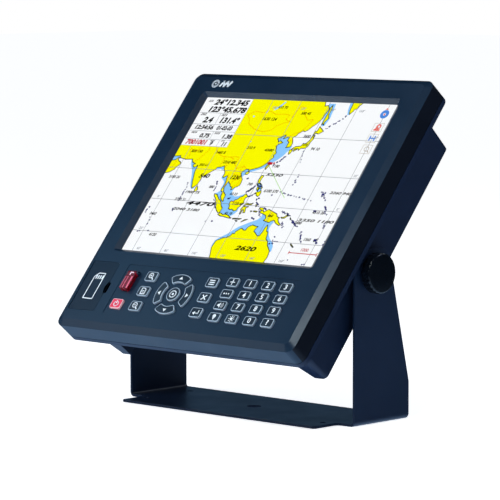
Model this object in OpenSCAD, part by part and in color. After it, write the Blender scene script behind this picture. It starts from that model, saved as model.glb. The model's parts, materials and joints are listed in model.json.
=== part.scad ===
// Marine chartplotter display on a U-shaped deck bracket.
// The row frame has its origin at the centre of the deck-screw pattern, on the underside
// of the bracket. +Z is up, the screen faces -Y and +X is the right-hand side.
//
// Everything on the tilting display is drawn in the display's own frame: x runs to the right
// across the face, y is the depth behind the front face and z runs up the face. Its origin is
// the centre of the bezel's front face. on_display() puts that frame in its place.

/* [Display] */
// Width of the front bezel
bezel_w = 308.2; // [300:0.1:320]
// Height of the front bezel
bezel_h = 306.4; // [300:0.1:320]
// Depth of the metal bezel, from its face to the parting seam
bezel_depth = 22.3; // [21:0.1:24]
// Width of the sloping edge around the face
chamfer_w = 6.4; // [3:0.1:7]
// Depth of the sloping edge around the face
chamfer_depth = 3.8; // [2:0.1:4]
// Thickness of the bezel's face and walls
wall = 4; // [3.5:0.1:4]
// Angle that the display leans back at rest, from upright
lean = 40; // [10:1:60]

/* [Screen] */
// Width of the picture (a 12.1 inch panel in 4:3)
picture_w = 246; // [240:0.5:250]
// Height of the picture
picture_h = 184.5; // [180:0.5:188]
// Height of the picture's centre above the bezel's centre
picture_up = 31.6; // [30:0.1:33]

/* [Rear housing] */
// Depth of the whole display, from its face to its back
case_depth = 76.2; // [74:0.1:80]
// Thickness of the rear housing's flange
flange_t = 5; // [5:0.1:6]
// Half width of the housing where it meets the flange
case_half_w = 138; // [136:0.1:139]
// Half width of the housing at its back
back_half_w = 134.8; // [132:0.1:136]
// Thickness of the housing's walls
case_wall = 3; // [2.5:0.1:3.5]

/* [Keys] */
// Width of a number key
pad_key_w = 13.8; // [12:0.1:15]
// Height of a number key
pad_key_h = 9.4; // [8:0.1:9.6]
// Distance that a key stands above the face
key_rise = 1.5; // [1.2:0.1:2]
// Distance that a key travels
key_travel = 1; // [0.6:0.1:1.2]
// Gap around each key
key_gap = 0.35; // [0.25:0.05:0.4]

/* [Bracket] */
// Width over the outside of the bracket's arms
bracket_w = 293.4; // [293:0.1:295]
// Thickness of the bracket's sheet
sheet = 2.5; // [2:0.1:3]
// Height of the tilt axis above the deck
pivot_h = 140.4; // [139:0.1:150]
// Distance between deck screws, left to right
screw_span_x = 232; // [200:1:236]
// Distance between deck screws, front to back
screw_span_y = 62; // [50:1:70]

/* [Knobs] */
// Diameter of a clamp knob
knob_d = 37.6; // [34:0.1:40]
// Thickness of a clamp knob
knob_t = 11.4; // [10:0.1:14]
// Radius of the clamp stud
stud_r = 4; // [3:0.5:4]

/* [Hidden] */
$fn = 48;
eps = 0.01;

// The tilt axis, in the row frame and in the display's frame
pivot_y = 2;
pivot_depth = 52.9;
pivot_up = -30.7;

// Bezel
half_w = bezel_w / 2;
half_h = bezel_h / 2;
corner_r = 9;
face_corner_r = 5;
cavity_half_w = half_w - wall;
cavity_half_h = half_h - wall;

// Screen opening in the face, and the glass and panel behind it
bevel_side = 6.5;
bevel_top = 5;
opening_w = picture_w + 1.2;
opening_h = picture_h + 1.2;
glass_t = 2;
glass_w = 264;
glass_h = 200;
glass_front = wall;
module_front = glass_front + glass_t + 0.3;
module_back = module_front + 10;
module_w = 279;
module_h = 209;
picture_recess = 0.5;

// Rear housing: the outside of its box at the flange and at the back
gasket_t = 0.7;
flange_front = bezel_depth + gasket_t;
flange_back = flange_front + flange_t;
case_top = 134.2;
case_bottom = -141.7;
back_top = 131.1;
back_bottom = -134.7;
case_corner_r = 8;
back_corner_r = 5;

// Connector bay: a space cut out of the lower back, between two corner lobes
bay_half_w = 112.5;
bay_draft = 8;
bay_top = -105;
bay_depth = 40;
plug_up = -122;

// Pivot bosses on the housing's sides
boss_r = 17;
boss_face = 141.2;
insert_r = 7;
insert_length = 14;
arm_outer = bracket_w / 2;
arm_inner = arm_outer - sheet;
stud_clearance = 0.05;
rub_washer_r = 15;

// Bracket
arm_front = -24.1;
arm_rear = 52.2;
base_front = -56;
base_half_front = 126;
taper_top = -105;
bend_r = 5;
relief_r = 5;
corner_cut_r = 3.5;
deck_screw_r = 2.75;
cable_hole_r = 7;
arm_hole_r = stud_r + 0.25;

// Knobs
washer_t = 2.3;
washer_gap = 0.25;
knob_back = arm_outer + 2.8;
flutes = 24;

// Keys: outline sizes, then each key as [name, right, up, kind]
side_key_w = 14;
side_key_h = 10.6;
key_corner_r = 2;
lip = 0.9;
lip_t = 1.2;
lip_gap = 0.15;
pad_right = 46;
pad_pitch_x = 22.2;
pad_top = -89;
pad_pitch_y = 13;
disc_x = -19.3;
disc_y = -108.4;
disc_key_r = 7.5;
ring_in = 13.5;
ring_out = 22.4;
ring_half_angle = 36;
row_y = [-91.5, -108.4, -125.4];
left_x = -58.6;
mid_x = 21.2;
power_x = -84.3;
power_y = -125;
guard_x = -83.4;
guard_y = -99;

PAD = [
    ["key_plus", "key_1", "key_2", "key_3"],
    ["key_function", "key_4", "key_5", "key_6"],
    ["key_sound", "key_7", "key_8", "key_9"],
    ["key_mark", "key_brightness", "key_0", "key_help"],
];
KEYS = concat(
    [
        ["key_zoom_in", left_x, row_y[0], "side"],
        ["key_page", left_x, row_y[1], "side"],
        ["key_zoom_out", left_x, row_y[2], "side"],
        ["key_menu", mid_x, row_y[0], "side"],
        ["key_clear", mid_x, row_y[1], "side"],
        ["key_enter", mid_x, row_y[2], "side"],
        ["key_power", power_x, power_y, "side"],
        ["key_alert", guard_x, guard_y - 2.2, "guarded"],
        ["key_centre", disc_x, disc_y, "disc"],
        ["key_right", disc_x, disc_y, 0],
        ["key_up", disc_x, disc_y, 90],
        ["key_left", disc_x, disc_y, 180],
        ["key_down", disc_x, disc_y, 270],
    ],
    [for (row = [0:3]) for (column = [0:3])
        [PAD[row][column], pad_right + column * pad_pitch_x, pad_top - row * pad_pitch_y, "pad"]]
);

// Silicone mat and switch board behind the keys
key_back = wall + lip_gap + lip_t;
mat_front = 7.8;
mat_t = 1.2;
dome_rise = mat_front - key_back - key_travel - 0.3;
board_front = mat_front + mat_t;
board_t = 1.6;
mat_x = [-98, 129];
mat_y = [-138, -80];
mat_posts = [[-95, -84], [-70.5, -136], [0.5, -136], [33.5, -82], [125, -84], [125, -136]];
mat_post_r = 2.8;

// Shallow pocket around the keys in the face
pocket_x = [-97, 125.6];
pocket_y = [-137.2, -79.4];
pocket_r = 3;
pocket_depth = 0.4;

// Guard cover
guard_w = 10.8;
guard_h = 21.5;
guard_rise = 4.2;
guard_wall = 1.1;
guard_pin_r = 0.75;
guard_barrel_r = 1.7;
guard_axis_up = guard_y + guard_h / 2 - guard_barrel_r;
guard_axis_depth = -2.2;
ear_t = 1.5;
ear_gap = 0.3;

// Card door, its pin and the compartment behind it
door_x = [-145.5, -110];
door_y = [-135, -79.1];
door_t = 2.6;
door_corner_r = 3;
door_gap = 0.3;
door_pin_r = 0.6;
door_axis_x = door_x[0] + door_t / 2;
notch_x = -107.1;
notch_y = [-114.4, -102];
compartment_x = [-140.6, -112.6];
compartment_y = [-131, -83];
compartment_back = 14;
card_x = -126;
card_y = -107;
card_w = 24;
card_t = 2.1;
card_length = 32;
card_front = 12;
card_travel = 1.2;

// Chassis plate, main board and the screws that hold them
chassis_front = 18.5;
chassis_t = 1.5;
chassis_half_w = 140;
chassis_y = [-62, 140];
chassis_tabs = [-45, 40, 125];
tab_x = 145;
main_front = 28.5;
main_t = 1.6;
main_half_w = 108;
main_y = [-45, 95];
standoff_r = 3;
standoff_x = 100;
standoff_y = [-37, 87];

// Case screws around the flange
case_screw_r = 2;
case_head_r = 3.6;
case_head_t = 3.1;
case_screw_x = 146.4;
case_screw_y = 145.4;
case_screws_at = concat(
    [for (side = [-1, 1]) for (up = [-143, -72, 0, 85]) [side * case_screw_x, up]],
    [for (right = [-130, -44, 44, 130]) [right, case_screw_y]],
    [for (right = [-70, 0, 70]) [right, -case_screw_y - 1.6]]
);
board_screw_r = 1.5;

// Flat cable
ribbon_w = 20;
ribbon_t = 0.4;
ribbon_start = -90;
ribbon_depth = 26;

// Rear connectors: [right, radius of the barrel]
power_plug = [-78, 9];
data_plugs = [[-38, 8], [-4, 8], [30, 8]];
antenna_plug = [70, 5.5];
plug_length = 20;
plug_gap = 0.1;
plug_flange_t = 3;

// Speaker behind its sound holes
speaker_x = -70;
speaker_y = -60;
speaker_r = 20;

// ---- placing and drawing helpers ----

// The display's own frame, leant back about the tilt axis.
module on_display() {
    translate([0, pivot_y, pivot_h])
        rotate([-lean, 0, 0])
            translate([0, -pivot_depth, -pivot_up])
                children();
}

// A flat shape drawn on the face, made solid between two depths.
module slab(front, back) {
    translate([0, back, 0])
        rotate([90, 0, 0])
            linear_extrude(back - front)
                children();
}

// A round bar square to the face.
module bar(right, up, front, back, r) {
    translate([right, back, up])
        rotate([90, 0, 0])
            cylinder(h = back - front, r = r);
}

// A round bar along the tilt axis, in the row frame.
module axle(from, to, r) {
    translate([from, 0, 0])
        rotate([0, 90, 0])
            cylinder(h = to - from, r = r);
}

module rounded(w, h, r) {
    square([w - 2 * r, h], center = true);
    square([w, h - 2 * r], center = true);
    for (side = [-1, 1]) for (end = [-1, 1])
        translate([side * (w / 2 - r), end * (h / 2 - r)])
            circle(r);
}

// A rounded rectangle between two corners given as [low, high] in each direction.
module patch(across, upward, r) {
    translate([(across[0] + across[1]) / 2, (upward[0] + upward[1]) / 2])
        rounded(across[1] - across[0], upward[1] - upward[0], r);
}

function arc(centre, r, from, to, steps) =
    [for (i = [0:steps]) let (a = from + (to - from) * i / steps)
        [centre[0] + r * cos(a), centre[1] + r * sin(a)]];

// ---- bracket ----

// Side view of one arm, about the tilt axis: [back, up].
module arm_outline() {
    nose_r = 23.5;
    heel_r = 12;
    slope = 13.4;
    polygon(concat(
        [[arm_rear, bend_r - pivot_h], [arm_rear, taper_top]],
        arc([13.1, 10], heel_r, slope, 90, 10),
        arc([arm_front + nose_r, -1.5], nose_r, 90, 180, 18),
        [[arm_front, bend_r - pivot_h]]
    ));
}

// The floor of the bracket, seen from above about the tilt axis.
module base_outline() {
    floor_half = arm_outer - bend_r;
    difference() {
        union() {
            translate([-floor_half, arm_front])
                square([2 * floor_half, arm_rear - arm_front]);
            translate([-base_half_front, base_front])
                square([2 * base_half_front, arm_front - base_front + 1]);
            for (side = [-1, 1])
                translate([side * (base_half_front + relief_r / 2), arm_front - relief_r / 2])
                    square(relief_r, center = true);
        }
        for (side = [-1, 1]) {
            translate([side * (base_half_front + relief_r), arm_front - relief_r])
                circle(relief_r);
            translate([side * base_half_front, base_front])
                difference() {
                    square(2 * corner_cut_r, center = true);
                    translate([-side * corner_cut_r, corner_cut_r])
                        circle(corner_cut_r);
                }
        }
    }
}

module bracket_bend() {
    length = arm_rear - arm_front;
    translate([arm_outer - bend_r, arm_rear, bend_r])
        rotate([90, 0, 0])
            intersection() {
                difference() {
                    cylinder(h = length, r = bend_r);
                    translate([0, 0, -1])
                        cylinder(h = length + 2, r = bend_r - sheet);
                }
                translate([0, -bend_r, 0])
                    cube([bend_r, bend_r, length]);
            }
}

module mounting_bracket() {
    color("#16243c")
        translate([0, pivot_y, 0])
            difference() {
                union() {
                    linear_extrude(sheet)
                        base_outline();
                    for (side = [-1, 1]) {
                        translate([0, 0, pivot_h])
                            translate([side * (arm_outer - sheet / 2) - sheet / 2, 0, 0])
                                rotate([90, 0, 90])
                                    linear_extrude(sheet)
                                        arm_outline();
                        mirror([side < 0 ? 1 : 0, 0, 0])
                            bracket_bend();
                    }
                }
                translate([0, 0, pivot_h])
                    axle(-arm_outer - 1, arm_outer + 1, arm_hole_r);
                translate([0, -pivot_y, -1]) {
                    cylinder(h = sheet + 2, r = cable_hole_r);
                    for (x = [-1, 1]) for (y = [-1, 1])
                        translate([x * screw_span_x / 2, y * screw_span_y / 2, 0])
                            cylinder(h = sheet + 2, r = deck_screw_r);
                }
            }
}

// ---- clamp knobs: drawn on the right, mirrored for the left ----

module on_pivot(side) {
    translate([0, pivot_y, pivot_h])
        mirror([side < 0 ? 1 : 0, 0, 0])
            children();
}

module knob(side) {
    rim_r = knob_d / 2;
    round_r = 2.5;
    color("#0c0d10")
        on_pivot(side)
            difference() {
                translate([knob_back, 0, 0])
                    rotate([0, 90, 0])
                        rotate_extrude()
                            polygon(concat(
                                [[0, 0], [rim_r - 1, 0], [rim_r, 1]],
                                arc([rim_r - round_r, knob_t - 1 - round_r], round_r, 0, 78, 6),
                                [[rim_r / 2, knob_t - 0.25], [0, knob_t]]
                            ));
                for (i = [0:flutes - 1])
                    rotate([i * 360 / flutes, 0, 0])
                        translate([0, rim_r + 0.7, 0])
                            axle(knob_back - 1, knob_back + knob_t + 1, 1.3);
                axle(knob_back - 1, knob_back + 8, stud_r);
            }
}

module knob_stud(side) {
    color("#b9bcc0")
        on_pivot(side)
            axle(boss_face - insert_length + 1.5, knob_back + 8, stud_r);
}

module knob_washer(side) {
    color("#9a9da2")
        on_pivot(side)
            difference() {
                axle(arm_outer + washer_gap, arm_outer + washer_gap + washer_t, 11);
                axle(arm_outer, knob_back, stud_r + 0.2);
            }
}

module pivot_inserts() {
    color("#b59a53")
        for (side = [-1, 1])
            on_pivot(side)
                difference() {
                    axle(boss_face - insert_length, boss_face, insert_r);
                    axle(boss_face - insert_length - 1, boss_face + 1, stud_r + stud_clearance);
                }
}

module friction_washers() {
    color("#1b1c1f")
        for (side = [-1, 1])
            on_pivot(side)
                difference() {
                    axle(boss_face, arm_inner - washer_gap, rub_washer_r);
                    axle(boss_face - 1, arm_inner, stud_r + 1);
                }
}

// ---- front bezel ----

module bezel_outline() {
    rounded(bezel_w, bezel_h, corner_r);
}

module key_outline(kind, grow) {
    if (kind == "side")
        rounded(side_key_w + 2 * grow, side_key_h + 2 * grow, key_corner_r + grow);
    else if (kind == "pad")
        rounded(pad_key_w + 2 * grow, pad_key_h + 2 * grow, key_corner_r + grow);
    else if (kind == "guarded")
        rounded(6 + 2 * grow, 11 + 2 * grow, 1 + grow);
    else if (kind == "disc")
        circle(disc_key_r + grow);
    else
        rotate(kind)
            ring_key(ring_in - grow, ring_out + grow, ring_half_angle, key_corner_r, grow);
}

// A piece of a ring with rounded corners, centred on +X, grown all round by grow.
module ring_key(r0, r1, half, r, grow) {
    side = grow;
    outer = half - asin((r - side) / (r1 - r));
    inner = half - asin((r - side) / (r0 + r));
    upper = concat(
        arc([0, 0], r1, 0, outer, 8),
        arc((r1 - r) * [cos(outer), sin(outer)], r, outer, half + 90, 5),
        arc((r0 + r) * [cos(inner), sin(inner)], r, half + 90, inner + 180, 5),
        arc([0, 0], r0, inner, 0, 6)
    );
    polygon(upper);
    mirror([0, 1])
        polygon(upper);
}

module bezel_post(at, back, r, hole_r) {
    difference() {
        bar(at[0], at[1], wall - eps, back, r);
        bar(at[0], at[1], back - 6, back + 1, hole_r);
    }
}

module guard_ears() {
    for (side = [-1, 1])
        translate([guard_x + side * (guard_w / 2 + ear_gap + ear_t / 2), 0, 0])
            rotate([0, 90, 0])
                translate([0, 0, -ear_t / 2]) {
                    translate([-guard_axis_up, guard_axis_depth, 0])
                        cylinder(h = ear_t, r = guard_barrel_r);
                    translate([-guard_axis_up - guard_barrel_r, guard_axis_depth, 0])
                        cube([2 * guard_barrel_r, pocket_depth - guard_axis_depth + eps, ear_t]);
                }
}

// The bezel before anything is cut through it, apart from the pocket around the keys.
module bezel_blank() {
    difference() {
        union() {
            hull() {
                slab(0, eps)
                    rounded(bezel_w - 2 * chamfer_w, bezel_h - 2 * chamfer_w, face_corner_r);
                slab(chamfer_depth - eps, chamfer_depth)
                    bezel_outline();
            }
            slab(chamfer_depth, wall)
                bezel_outline();
            slab(wall - eps, bezel_depth)
                difference() {
                    bezel_outline();
                    rounded(2 * cavity_half_w, 2 * cavity_half_h, corner_r - wall);
                }
        }
        slab(-1, pocket_depth)
            patch(pocket_x, pocket_y, pocket_r);
    }
    for (at = case_screws_at)
        bezel_post(at, bezel_depth, 4.6, case_screw_r + stud_clearance);
    for (side = [-1, 1]) for (up = chassis_tabs)
        bezel_post([side * tab_x, up], chassis_front, 4.5, board_screw_r);
    for (at = mat_posts)
        bezel_post(at, board_front, mat_post_r, board_screw_r);
    guard_ears();
}

module guard_axle(from, to, r) {
    translate([guard_x, guard_axis_depth, guard_axis_up])
        axle(from, to, r);
}

module door_axle(from, to, r) {
    translate([door_axis_x, door_t / 2, from])
        cylinder(h = to - from, r = r);
}

// The door from one side: square on its hinge side, round at the other corners.
module door_outline(from, grow) {
    patch([from - grow, door_x[1] + grow], door_y + [-grow, grow], door_corner_r + grow);
    patch([from - grow, from + 2 * door_corner_r], door_y + [-grow, grow], 0.3 + grow);
}

module front_bezel() {
    color("#16263d")
        on_display()
            difference() {
                bezel_blank();
                screen_cut();
                for (key = KEYS)
                    translate([key[1], 0, key[2]])
                        slab(-1, wall + 1)
                            key_outline(key[3], key_gap);
                slab(-1, door_t + 0.2)
                    door_outline(door_x[0], door_gap);
                slab(-1, wall + 1)
                    patch(compartment_x, compartment_y, 2);
                slab(-1, 2.4)
                    patch([door_x[1] - 1, notch_x], notch_y, 1.2);
                guard_axle(-guard_w, guard_w, guard_pin_r);
                door_axle(door_y[0] - 3, door_y[1] + 3, door_pin_r);
            }
}

// The stepped opening for the screen: a sloping rim down to the edge of the picture.
module screen_cut() {
    translate([0, 0, picture_up])
        hull() {
            slab(-eps, 0)
                rounded(opening_w + 2 * (bevel_side - 0.6), opening_h + 2 * (bevel_top - 0.6), 4);
            slab(wall - eps, wall + eps)
                rounded(opening_w, opening_h, 1);
        }
}

module bezel_gasket() {
    color("#101114")
        on_display()
            slab(bezel_depth, flange_front)
                difference() {
                    rounded(bezel_w - 1.2, bezel_h - 1.2, corner_r - 0.6);
                    rounded(2 * cavity_half_w + 0.6, 2 * cavity_half_h + 0.6, corner_r - wall + 0.3);
                }
}

// ---- screen ----

module screen_glass() {
    color([0.75, 0.82, 0.85, 0.35])
        on_display()
            translate([0, 0, picture_up])
                slab(glass_front, glass_front + glass_t)
                    rounded(glass_w, glass_h, 2);
}

module lcd_module() {
    color("#f4f4ee")
        on_display()
            translate([0, 0, picture_up])
                difference() {
                    slab(module_front, module_back)
                        square([module_w, module_h], center = true);
                    slab(module_front - 1, module_front + picture_recess)
                        square([picture_w + 1, picture_h + 1], center = true);
                }
}

// ---- keys ----

module keycap(key) {
    colour = key[0] == "key_power" ? "#d8213f" : key[0] == "key_alert" ? "#7a0f1e" : "#1a222c";
    color(colour)
        on_display()
            translate([key[1], 0, key[2]]) {
                slab(-key_rise, wall + lip_gap + eps)
                    key_outline(key[3], 0);
                slab(wall + lip_gap, key_back)
                    key_outline(key[3], lip);
            }
}

module keypad_mat() {
    color("#2a2d31")
        on_display() {
            difference() {
                slab(mat_front, mat_front + mat_t)
                    patch(mat_x, mat_y, 3);
                for (at = mat_posts)
                    bar(at[0], at[1], mat_front - 1, mat_front + mat_t + 1, mat_post_r + 0.3);
            }
            for (key = KEYS)
                dome(key);
        }
}

// One switch dome, at the middle of its key.
module dome(key) {
    reach = is_num(key[3]) ? (ring_in + ring_out) / 2 : 0;
    turn = is_num(key[3]) ? key[3] : 0;
    bar(key[1] + reach * cos(turn), key[2] + reach * sin(turn),
        mat_front - dome_rise, mat_front + eps, 2.4);
}

module keypad_board() {
    color("#1d5a38")
        on_display()
            difference() {
                slab(board_front, board_front + board_t)
                    patch(mat_x, mat_y, 3);
                for (at = mat_posts)
                    bar(at[0], at[1], board_front - 1, board_front + board_t + 1, 1.7);
            }
}

// ---- guard cover ----

module guard_cover() {
    shell_top = guard_y + guard_h / 2;
    shell = [guard_y - guard_h / 2, shell_top - guard_barrel_r];
    color([0.62, 0.06, 0.1, 0.75])
        on_display()
            difference() {
                union() {
                    slab(-guard_rise, -0.3)
                        patch([guard_x - guard_w / 2, guard_x + guard_w / 2], shell, 1.5);
                    guard_axle(-guard_w / 2, guard_w / 2, guard_barrel_r);
                }
                slab(-guard_rise + guard_wall, 1)
                    patch([guard_x - guard_w / 2 + guard_wall, guard_x + guard_w / 2 - guard_wall],
                          [shell[0] + guard_wall, shell_top - 2 * guard_barrel_r - guard_wall], 0.8);
                guard_axle(-guard_w, guard_w, guard_pin_r + stud_clearance);
            }
}

module guard_pin() {
    reach = guard_w / 2 + ear_gap + ear_t;
    color("#b9bcc0")
        on_display()
            guard_axle(-reach, reach, guard_pin_r);
}

// ---- card door, socket and card ----

module card_door() {
    color("#15243a")
        on_display()
            difference() {
                union() {
                    slab(0, door_t)
                        door_outline(door_axis_x, 0);
                    door_axle(door_y[0], door_y[1], door_t / 2);
                    slab(door_t - eps, door_t + 2)
                        patch([compartment_x[1] - 1.8, compartment_x[1] - 0.6],
                              [card_y - 4, card_y + 4], 0.3);
                }
                door_axle(door_y[0] - 1, door_y[1] + 1, door_pin_r + stud_clearance);
            }
}

module door_pin() {
    color("#b9bcc0")
        on_display()
            door_axle(door_y[0] - 2.9, door_y[1] + 2.9, door_pin_r);
}

module card_socket() {
    rim = 2;
    color("#23262b")
        on_display()
            difference() {
                union() {
                    slab(wall, compartment_back + rim)
                        patch(compartment_x + [-rim, rim], compartment_y + [-rim, rim], 2);
                    slab(compartment_back, card_front + card_length + 5)
                        patch([card_x - 6, card_x + 6], [card_y - 15, card_y + 15], 1);
                }
                slab(wall - 1, compartment_back)
                    patch(compartment_x, compartment_y, 1.5);
                slab(compartment_back - 1, card_front + card_length + card_travel + 0.3)
                    translate([card_x, card_y])
                        square([card_t + 0.6, card_w + 0.6], center = true);
            }
}

module memory_card() {
    color("#2f4f86")
        on_display()
            translate([card_x, 0, card_y])
                slab(card_front, card_front + card_length)
                    square([card_t, card_w], center = true);
}

// ---- rear housing ----

// The housing's box, shrunk all round by t, from its flange to its back.
module case_block(t) {
    hull() {
        slab(flange_front - (t > 0 ? 1 : 0), flange_front + eps)
            patch([-case_half_w + t, case_half_w - t], [case_bottom + t, case_top - t],
                  case_corner_r - t);
        slab(case_depth - t - eps, case_depth - t)
            patch([-back_half_w + t, back_half_w - t], [back_bottom + t, back_top - t],
                  back_corner_r - t);
    }
}

module bay(grow) {
    front = bay_half_w + grow;
    back = front + bay_draft;
    translate([0, 0, case_bottom - 20])
        linear_extrude(bay_top + grow - case_bottom + 20)
            polygon([[-front, bay_depth - grow], [front, bay_depth - grow],
                     [back, case_depth + 1], [-back, case_depth + 1]]);
}

module pivot_boss(side) {
    translate([0, pivot_depth, pivot_up])
        mirror([side < 0 ? 1 : 0, 0, 0]) {
            axle(boss_face - insert_length, boss_face - 2, insert_r + 4);
            axle(back_half_w - 1, boss_face, boss_r);
        }
}

module rear_housing() {
    color("#16243c")
        on_display()
            difference() {
                union() {
                    difference() {
                        union() {
                            slab(flange_front, flange_back)
                                bezel_outline();
                            case_block(0);
                        }
                        case_block(case_wall);
                    }
                    intersection() {
                        case_block(0);
                        bay(case_wall);
                    }
                    for (side = [-1, 1])
                        pivot_boss(side);
                }
                bay(0);
                translate([0, pivot_depth, pivot_up])
                    axle(-boss_face - 1, boss_face + 1, insert_r);
                for (at = case_screws_at) {
                    bar(at[0], at[1], flange_front - 1, flange_back + 1, case_screw_r + 0.2);
                    bar(at[0], at[1], flange_back - case_head_t - 0.2, flange_back + 1,
                        case_head_r + 0.3);
                }
                for (plug = concat([power_plug, antenna_plug], data_plugs))
                    bar(plug[0], plug_up, bay_depth - 9, bay_depth + 1, plug[1] + plug_gap);
                cooling_grooves();
                sound_holes();
            }
}

module cooling_grooves() {
    for (i = [-4:4])
        slab(case_depth - 1.4, case_depth + 1)
            translate([0, 40 + i * 14])
                rounded(210, 5, 2.4);
}

module sound_holes() {
    bar(speaker_x, speaker_y, case_depth - case_wall - 1, case_depth + 1, 1.3);
    for (ring = [1:3]) for (i = [0:6 * ring - 1])
        bar(speaker_x + 4 * ring * cos(i * 60 / ring), speaker_y + 4 * ring * sin(i * 60 / ring),
            case_depth - case_wall - 1, case_depth + 1, 1.3);
}

// ---- inside ----

module chassis_plate() {
    color("#aeb2b6")
        on_display()
            difference() {
                union() {
                    slab(chassis_front, chassis_front + chassis_t)
                        patch([-chassis_half_w, chassis_half_w], chassis_y, 2);
                    for (side = [-1, 1]) for (up = chassis_tabs)
                        slab(chassis_front, chassis_front + chassis_t)
                            translate([side * (tab_x - 3), up])
                                rounded(14, 12, 2);
                    for (side = [-1, 1]) for (up = standoff_y)
                        bar(side * standoff_x, up, chassis_front, main_front, standoff_r);
                }
                for (side = [-1, 1]) for (up = chassis_tabs)
                    bar(side * tab_x, up, chassis_front - 1, chassis_front + chassis_t + 1, 1.7);
                for (side = [-1, 1]) for (up = standoff_y)
                    bar(side * standoff_x, up, main_front - 6, main_front + 1, board_screw_r);
            }
}

module main_board() {
    color("#1d5a38")
        on_display() {
            difference() {
                slab(main_front, main_front + main_t)
                    patch([-main_half_w, main_half_w], main_y, 2);
                for (side = [-1, 1]) for (up = standoff_y)
                    bar(side * standoff_x, up, main_front - 1, main_front + main_t + 1, 1.7);
            }
            slab(main_front + main_t - eps, main_front + main_t + 9)
                translate([-20, 40])
                    square([42, 42], center = true);
            slab(main_front + main_t - eps, main_front + main_t + 3)
                for (x = [22, 44, 66])
                    translate([x, 48])
                        square([14, 11], center = true);
            for (x = [-80, -66, -52])
                bar(x, 10, main_front + main_t - eps, main_front + main_t + 14, 5);
        }
}

// A pan-head screw, its head on the side away from the face.
module screw(at, seat, r, length, head_r, head_t) {
    bar(at[0], at[1], seat - length, seat + eps, r);
    bar(at[0], at[1], seat, seat + head_t, head_r);
}

module board_screws() {
    color("#c3c6ca")
        on_display() {
            for (side = [-1, 1]) for (up = chassis_tabs)
                screw([side * tab_x, up], chassis_front + chassis_t, board_screw_r, 6, 2.75, 2);
            for (side = [-1, 1]) for (up = standoff_y)
                screw([side * standoff_x, up], main_front + main_t, board_screw_r, 6, 2.75, 2);
            for (at = mat_posts)
                screw(at, board_front + board_t, board_screw_r, 6, 2.75, 2);
        }
}

module case_screws() {
    seat = flange_back - case_head_t - 0.2;
    color("#8d9095")
        on_display()
            for (at = case_screws_at)
                difference() {
                    screw(at, seat, case_screw_r, 7, case_head_r, case_head_t);
                    slab(seat + case_head_t - 1.8, seat + case_head_t + 1)
                        translate(at)
                            circle(1.6, $fn = 6);
                }
}

// A round rear connector: barrel, wall flange and the part behind the wall.
module connector(plug, pins, hollow) {
    difference() {
        union() {
            bar(plug[0], plug_up, bay_depth - 8, bay_depth + plug_length, plug[1]);
            bar(plug[0], plug_up, bay_depth, bay_depth + plug_flange_t, plug[1] + 3);
        }
        bar(plug[0], plug_up, bay_depth + 6, bay_depth + plug_length + 1, hollow);
    }
    for (i = [0:pins - 1])
        bar(plug[0] + (pins > 1 ? hollow / 2 : 0) * cos(i * 360 / pins),
            plug_up + (pins > 1 ? hollow / 2 : 0) * sin(i * 360 / pins),
            bay_depth + 5, bay_depth + plug_length - 3, 0.9);
}

module power_connector() {
    color("#17181a")
        on_display()
            connector(power_plug, 3, 6.8);
}

module data_connectors() {
    color("#17181a")
        on_display()
            for (plug = data_plugs)
                connector(plug, 6, 6);
}

module antenna_connector() {
    color("#c9ccd0")
        on_display()
            connector(antenna_plug, 1, 3.8);
}

module speaker() {
    magnet_r = 12;
    back = case_depth - case_wall;
    color("#26282b")
        on_display()
            union() {
                bar(speaker_x, speaker_y, back - 5, back, speaker_r);
                bar(speaker_x, speaker_y, back - 13, back - 5 + eps, magnet_r);
            }
}

// A flat cable from the switch board, back behind the chassis plate and up to the main board.
module keypad_ribbon() {
    board_back = board_front + board_t;
    color("#c8c6bd")
        on_display()
            translate([-ribbon_w / 2, 0, 0])
                rotate([90, 0, 90])
                    linear_extrude(ribbon_w) {
                        translate([board_back, ribbon_start])
                            square([ribbon_depth - board_back, ribbon_t]);
                        translate([ribbon_depth - ribbon_t, ribbon_start])
                            square([ribbon_t, main_y[0] - ribbon_start]);
                        translate([ribbon_depth - ribbon_t, main_y[0] - ribbon_t])
                            square([main_front + main_t + ribbon_t - ribbon_depth, ribbon_t]);
                    }
}

mounting_bracket();
knob(-1);  // left_knob
knob_stud(-1);  // left_knob_stud
knob_washer(-1);  // left_knob_washer
knob(1);  // right_knob
knob_stud(1);  // right_knob_stud
knob_washer(1);  // right_knob_washer
front_bezel();
bezel_gasket();
rear_housing();
screen_glass();
lcd_module();
keypad_mat();
keypad_board();
chassis_plate();
main_board();
board_screws();
case_screws();
power_connector();
data_connectors();
antenna_connector();
speaker();
card_socket();
memory_card();
keypad_ribbon();
pivot_inserts();
friction_washers();
guard_cover();
guard_pin();
card_door();
door_pin();
for (key = KEYS)
    keycap(key);
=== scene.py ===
import json
import math
import random

import bmesh
import bpy
from mathutils import Matrix, Vector
from mathutils.geometry import tessellate_polygon

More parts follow.
